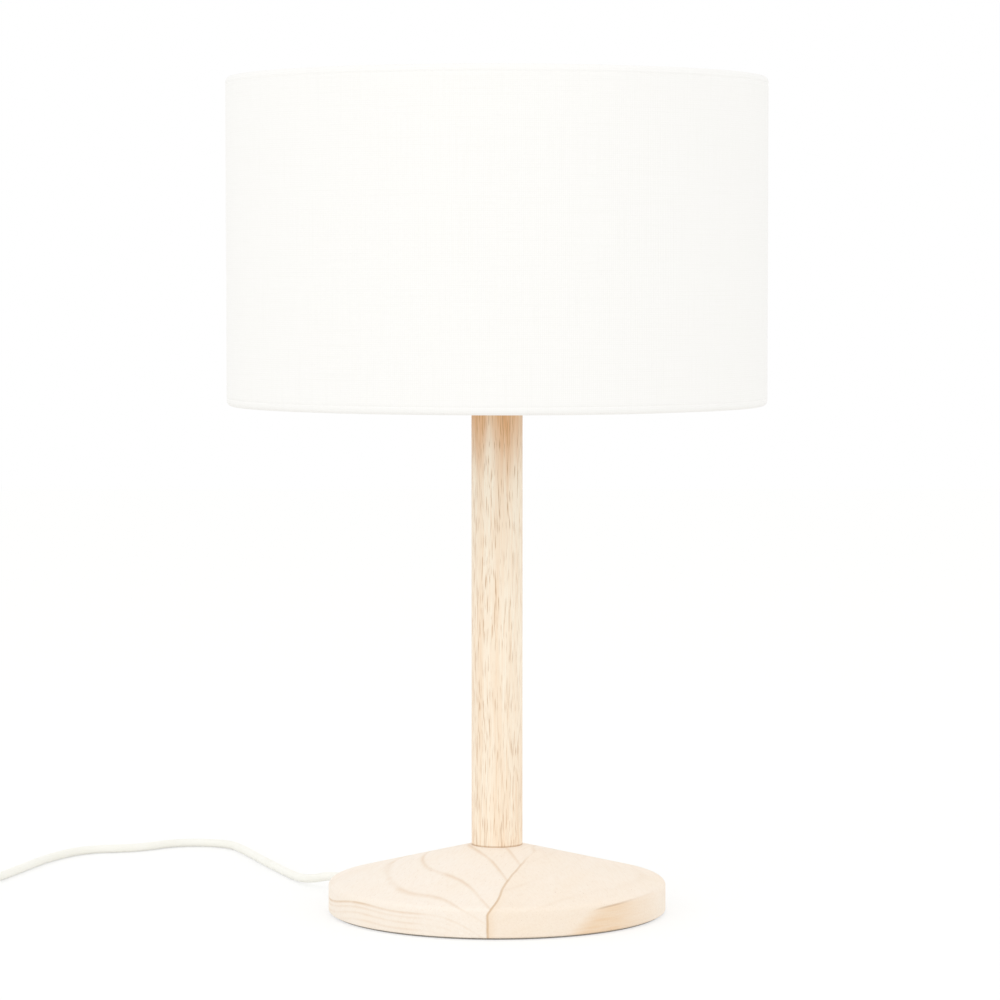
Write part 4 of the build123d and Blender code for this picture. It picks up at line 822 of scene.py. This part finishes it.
class LAMP_OT_lead(bpy.types.Operator):
    """Lay the mains lead from the base to the switch, and on through its coil to the plug"""

    bl_idname = "lamp.lead"
    bl_label = "Mains lead"

    def execute(self, context):
        lead = context.scene.lamp_lead
        sheath = soft_pvc("soft_pvc_extruded_ivory", lead.sheath)
        inlet = SWITCH_INLET + UP * SWITCH_LEVEL
        outlet = inlet + ALONG * SWITCH_LENGTH

        route = [BUSH_NOSE, BUSH_NOSE + EXIT_DIRECTION * BUSH_RUN]
        route += [Vector(point) for point in FLOOR_RUN]
        route += [inlet - ALONG * SWITCH_RUN, inlet + ALONG * SWITCH_GRIP]
        to_switch = lay_cord("lead_to_switch", route, lead.diameter)
        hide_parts("cord_lead")

        low = outlet - UP * SWITCH_LEVEL + UP * COIL_LOW
        route = [outlet - ALONG * SWITCH_GRIP, outlet + ALONG * LINK_LEVEL]
        route += [low + ALONG * run for run in LINK_LOW]
        outer = COIL_INNER + COIL_PITCH * COIL_QUARTERS / 4
        middle = low + ALONG * COIL_AHEAD + ASIDE * outer
        # The line runs inside its control points, so these stand out a little further than the turns.
        stand_out = 1 / cos(pi / (4 * COIL_POINTS_A_QUARTER))
        for step in range(2 * COIL_QUARTERS * COIL_POINTS_A_QUARTER + 1):
            quarter = step / COIL_POINTS_A_QUARTER - COIL_QUARTERS
            angle = (quarter + COIL_QUARTERS) * pi / 2
            radius = (COIL_INNER + COIL_PITCH * abs(quarter) / 4) * stand_out
            rise = COIL_RISE * min(1, max(0, (quarter + 1) / 2))
            route.append(middle + (ALONG * sin(angle) - ASIDE * cos(angle)) * radius + UP * rise)
        foot = middle + ASIDE * outer - UP * COIL_LOW
        route += [foot - ALONG * back - ASIDE * shift + UP * level for back, shift, level in TAIL_RUN]
        to_plug = lay_cord("lead_to_plug", route, lead.diameter)
        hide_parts("cord_link", "cord_coil", "cord_tail")

        for cord in (to_switch, to_plug):
            cord.data.materials.append(sheath)
            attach(cord, "stand")
        finish_nodes(sheath, "inner_cord")
        return {"FINISHED"}


class LAMP_OT_shade_cloth(bpy.types.Operator):
    """Model the cloth of the shade, rolled over both wires, with its lap at the back"""

    bl_idname = "lamp.shade_cloth"
    bl_label = "Shade cloth"

    def execute(self, context):
        shade = context.scene.lamp_shade
        low = SHADE_BOTTOM + HEM_ROLL
        high = SHADE_TOP - HEM_ROLL
        middle = SHADE_RADIUS - HEM_ROLL
        # Each hem rolls round its wire, leans out to the liner and lies against it.
        bends = [HEM_TURN * step / HEM_STEPS for step in range(HEM_STEPS + 1)]
        lean = (LINER_FACE - middle - HEM_ROLL * cos(HEM_TURN)) / -sin(HEM_TURN)
        touch = -HEM_ROLL * sin(HEM_TURN) - lean * cos(HEM_TURN)
        hem = [(middle + HEM_ROLL * cos(bend), -HEM_ROLL * sin(bend)) for bend in bends]
        hem += [(LINER_FACE, touch + HEM_EASE), (LINER_FACE, HEM_TUCK)]
        # A pressed line beside each roll, and the wall between them.
        pressed = [(SHADE_RADIUS + out, level) for out, level in PRESSED_LINE]
        tall = high - low - 2 * WALL_MARGIN
        wall = [high - WALL_MARGIN - tall * step / WALL_STEPS for step in range(WALL_STEPS + 1)]
        profile = [(radius, high - level) for radius, level in [*reversed(hem), *pressed]]
        profile += [(SHADE_RADIUS, level) for level in wall]
        profile += [(radius, low + level) for radius, level in [*reversed(pressed), *hem]]
        cloth = turned_sheet("shade_cloth", [(r * MM, z * MM) for r, z in profile], SHADE_STEPS)

        # The lower hem is cut away where the frame's arms pass.
        arms = [Vector((cos(radians(angle)), sin(radians(angle)))) for angle in ARM_ANGLES]

        def at_an_arm(place, normal):
            flat = place.xy
            near = any((flat - arm * flat.length).length < ARM_NOTCH * MM for arm in arms)
            turned_in = flat.length < (middle - PAST_ROLL) * MM or place.z > (low + PAST_ROLL) * MM
            inside = flat.length < (SHADE_RADIUS - INNER_LAYER) * MM
            return near and turned_in and inside and place.z < (low + HEM_TUCK) * MM

        select_faces(cloth, at_an_arm)
        bpy.ops.mesh.delete(type="FACE")
        bpy.ops.mesh.select_all(action="SELECT")
        bpy.ops.object.mode_set(mode="OBJECT")

        # The cloth stands off its liner a little here and there.
        unevenness = bpy.data.textures.new("cloth_swell", "CLOUDS")
        unevenness.noise_scale = SWELL_SPACING
        swell = cloth.modifiers.new("swell", "DISPLACE")
        swell.texture = unevenness
        swell.texture_coords = "LOCAL"
        swell.mid_level = 0
        swell.strength = shade.swell
        thickness = cloth.modifiers.new("thickness", "SOLIDIFY")
        thickness.thickness = shade.cloth_thickness
        thickness.offset = -1
        apply_all(cloth)

        # The lap at the back: the last of the cloth lies over the first.
        def in_the_lap(place, normal):
            outside = place.xy.length > (SHADE_RADIUS - OUTER_FACE) * MM and normal.xy.dot(place.xy) > 0
            return outside and 0 < place.x < LAP_WIDTH * MM and place.y > 0 and low < place.z / MM < high

        select_faces(cloth, in_the_lap)
        bpy.ops.mesh.extrude_region_shrink_fatten(TRANSFORM_OT_shrink_fatten={"value": LAP_RISE * MM})
        bpy.ops.object.mode_set(mode="OBJECT")
        bpy.ops.object.shade_smooth_by_angle(angle=CREASE_ANGLE)
        cloth.data.materials.append(woven_cotton(shade))
        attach(cloth, "shade")
        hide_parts("shade_fabric")
        return {"FINISHED"}


class LAMP_OT_shade_frame(bpy.types.Operator):
    """Give the wire frame and the liner their finishes"""

    bl_idname = "lamp.shade_frame"
    bl_label = "Shade frame and liner"

    def execute(self, context):
        shade = context.scene.lamp_shade
        finish_nodes(powder_coat(shade), "shade_frame", "shade_top_ring")
        finish_nodes(styrene_sheet(shade), "shade_liner")
        return {"FINISHED"}


class LAMP_OT_stand(bpy.types.Operator):
    """Give the base and the column their finishes, and model the felt pad"""

    bl_idname = "lamp.stand"
    bl_label = "Stand and pad"

    def execute(self, context):
        wood = context.scene.lamp_wood
        finish_nodes(rubberwood_boards(wood), "turned_base")
        finish_nodes(rubberwood_dowel(wood), "column")

        low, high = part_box("base_pad")
        radius = high.x
        clear_selection()
        bpy.ops.mesh.primitive_circle_add(
            vertices=PAD_STEPS, radius=radius, fill_type="NGON", location=(0, 0, low.z)
        )
        bpy.ops.object.transform_apply(location=True, rotation=True, scale=True)
        pad = context.object
        pad.name = "felt_pad"
        bpy.ops.object.mode_set(mode="EDIT")
        bpy.ops.mesh.select_all(action="SELECT")
        bpy.ops.mesh.extrude_region_move(TRANSFORM_OT_translate={"value": (0, 0, high.z - low.z)})
        bpy.ops.mesh.inset(thickness=PAD_INSET)
        bpy.ops.mesh.select_all(action="SELECT")
        bpy.ops.mesh.normals_make_consistent(inside=False)
        bpy.ops.object.mode_set(mode="OBJECT")
        rim = pad.modifiers.new("rim", "BEVEL")
        rim.width = PAD_ROUND
        rim.segments = 3
        rim.limit_method = "ANGLE"
        apply_all(pad)
        bpy.ops.object.shade_smooth_by_angle(angle=CREASE_ANGLE)
        pad.data.materials.append(needle_felt(context.scene.lamp_fittings))
        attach(pad, "stand")
        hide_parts("base_pad")
        return {"FINISHED"}


class LAMP_OT_lampholder(bpy.types.Operator):
    """Give the lampholder, the rod, and the screws, contacts and wires their finishes"""

    bl_idname = "lamp.lampholder"
    bl_label = "Lampholder and rod"

    def execute(self, context):
        fittings = context.scene.lamp_fittings
        holder = moulded("thermoplastic_moulded_white", fittings.holder, 0.42, 0.7)
        finish_nodes(holder, "lampholder_cap", "lampholder_skirt", "shade_ring", "terminal_block")
        zinc = plated("zinc_plated_steel", linear("#C4C7C8"), 0.34, linear("#A3A6A6"))
        finish_nodes(
            zinc, "threaded_tube", "base_washer", "base_nut", "top_washer", "top_nut", "cap_lock_screw",
            "terminal_screw_1", "terminal_screw_2", "rocker_pin", "switch_screw_1", "switch_screw_2",
        )
        brass = plated("brass_strip_stamped", linear("#CDAA5F"), 0.3, linear("#A98746"))
        finish_nodes(
            brass, "centre_contact", "side_contact", "bulb_contact", "switch_contact_1", "switch_contact_2"
        )
        finish_nodes(soft_pvc("soft_pvc_extruded_brown", linear("#7A4B2C")), "live_wire")
        finish_nodes(soft_pvc("soft_pvc_extruded_blue", linear("#2F62AB")), "neutral_wire")
        return {"FINISHED"}


class LAMP_OT_bulb(bpy.types.Operator):
    """Give the pieces of the bulb and the plug's pins their finishes"""

    bl_idname = "lamp.bulb"
    bl_label = "Bulb"

    def execute(self, context):
        fittings = context.scene.lamp_fittings
        finish_nodes(moulded("thermoplastic_moulded_satin_white", fittings.holder, 0.36, 0.9), "bulb_body")
        finish_nodes(opal_diffuser(fittings), "bulb_globe")
        nickel = plated("nickel_plated_brass", linear("#CFC9BD"), 0.24, linear("#B3AB9C"))
        finish_nodes(nickel, "bulb_cap", "plug_pin_1", "plug_pin_2")
        finish_nodes(moulded("phenolic_moulded_black", linear("#1F1E1D"), 0.38, 0.6), "bulb_cap_insulator")
        white_board = circuit_board("board_white_solder_mask", linear("#F0F0EB"), linear("#D9D9D2"))
        finish_nodes(white_board, "bulb_led_board")
        green_board = circuit_board("board_green_solder_mask", linear("#1E6A3B"), linear("#3C8A55"))
        finish_nodes(green_board, "bulb_driver_board")
        finish_nodes(phosphor_gel(), "bulb_emitter")
        return {"FINISHED"}


class LAMP_OT_lead_fittings(bpy.types.Operator):
    """Give the switch, plug, bush and tie their finishes"""

    bl_idname = "lamp.lead_fittings"
    bl_label = "Switch, plug and tie"

    def execute(self, context):
        lead = context.scene.lamp_lead
        ivory = moulded("thermoplastic_moulded_ivory", lead.fittings, 0.4, 0.8)
        finish_nodes(ivory, "cord_bush", "switch_base", "switch_cover", "plug_body")
        finish_nodes(moulded("thermoplastic_moulded_sand", lead.rocker, 0.32, 0.8), "switch_rocker")
        finish_nodes(soft_pvc("soft_pvc_extruded_black", linear("#242424")), "cord_tie")
        return {"FINISHED"}


class LAMP_PT_panel(bpy.types.Panel):
    """The lamp's pieces, in the order they are made"""

    bl_idname = "LAMP_PT_panel"
    bl_label = "Table lamp"
    bl_space_type = "VIEW_3D"
    bl_region_type = "UI"
    bl_category = "Table lamp"

    def draw(self, context):
        for operator in OPERATORS:
            self.layout.operator(operator.bl_idname)
        for place, settings in SETTINGS.items():
            box = self.layout.box()
            box.label(text=settings.__doc__)
            for name in settings.__annotations__:
                box.prop(getattr(context.scene, place), name)


SETTINGS = {
    "lamp_stage": LampStage,
    "lamp_lead": LampLead,
    "lamp_shade": LampShade,
    "lamp_wood": LampWood,
    "lamp_fittings": LampFittings,
}
OPERATORS = (
    LAMP_OT_stage, LAMP_OT_lead, LAMP_OT_shade_cloth, LAMP_OT_shade_frame, LAMP_OT_stand, LAMP_OT_lampholder,
    LAMP_OT_bulb, LAMP_OT_lead_fittings,
)


def register():
    """Registers the settings, operators and panel."""
    for settings in SETTINGS.values():
        bpy.utils.register_class(settings)
    for place, settings in SETTINGS.items():
        setattr(bpy.types.Scene, place, PointerProperty(type=settings))
    for operator in OPERATORS:
        bpy.utils.register_class(operator)
    bpy.utils.register_class(LAMP_PT_panel)


def unregister():
    """Takes the settings, operators and panel away again."""
    bpy.utils.unregister_class(LAMP_PT_panel)
    for operator in reversed(OPERATORS):
        bpy.utils.unregister_class(operator)
    for place in SETTINGS:
        delattr(bpy.types.Scene, place)
    for settings in reversed(SETTINGS.values()):
        bpy.utils.unregister_class(settings)


def main():
    """Makes the lamp's pieces in order."""
    register()
    bpy.ops.lamp.stage()
    bpy.ops.lamp.lead()
    bpy.ops.lamp.shade_cloth()
    bpy.ops.lamp.shade_frame()
    bpy.ops.lamp.stand()
    bpy.ops.lamp.lampholder()
    bpy.ops.lamp.bulb()
    bpy.ops.lamp.lead_fittings()


if __name__ == "__main__":
    main()
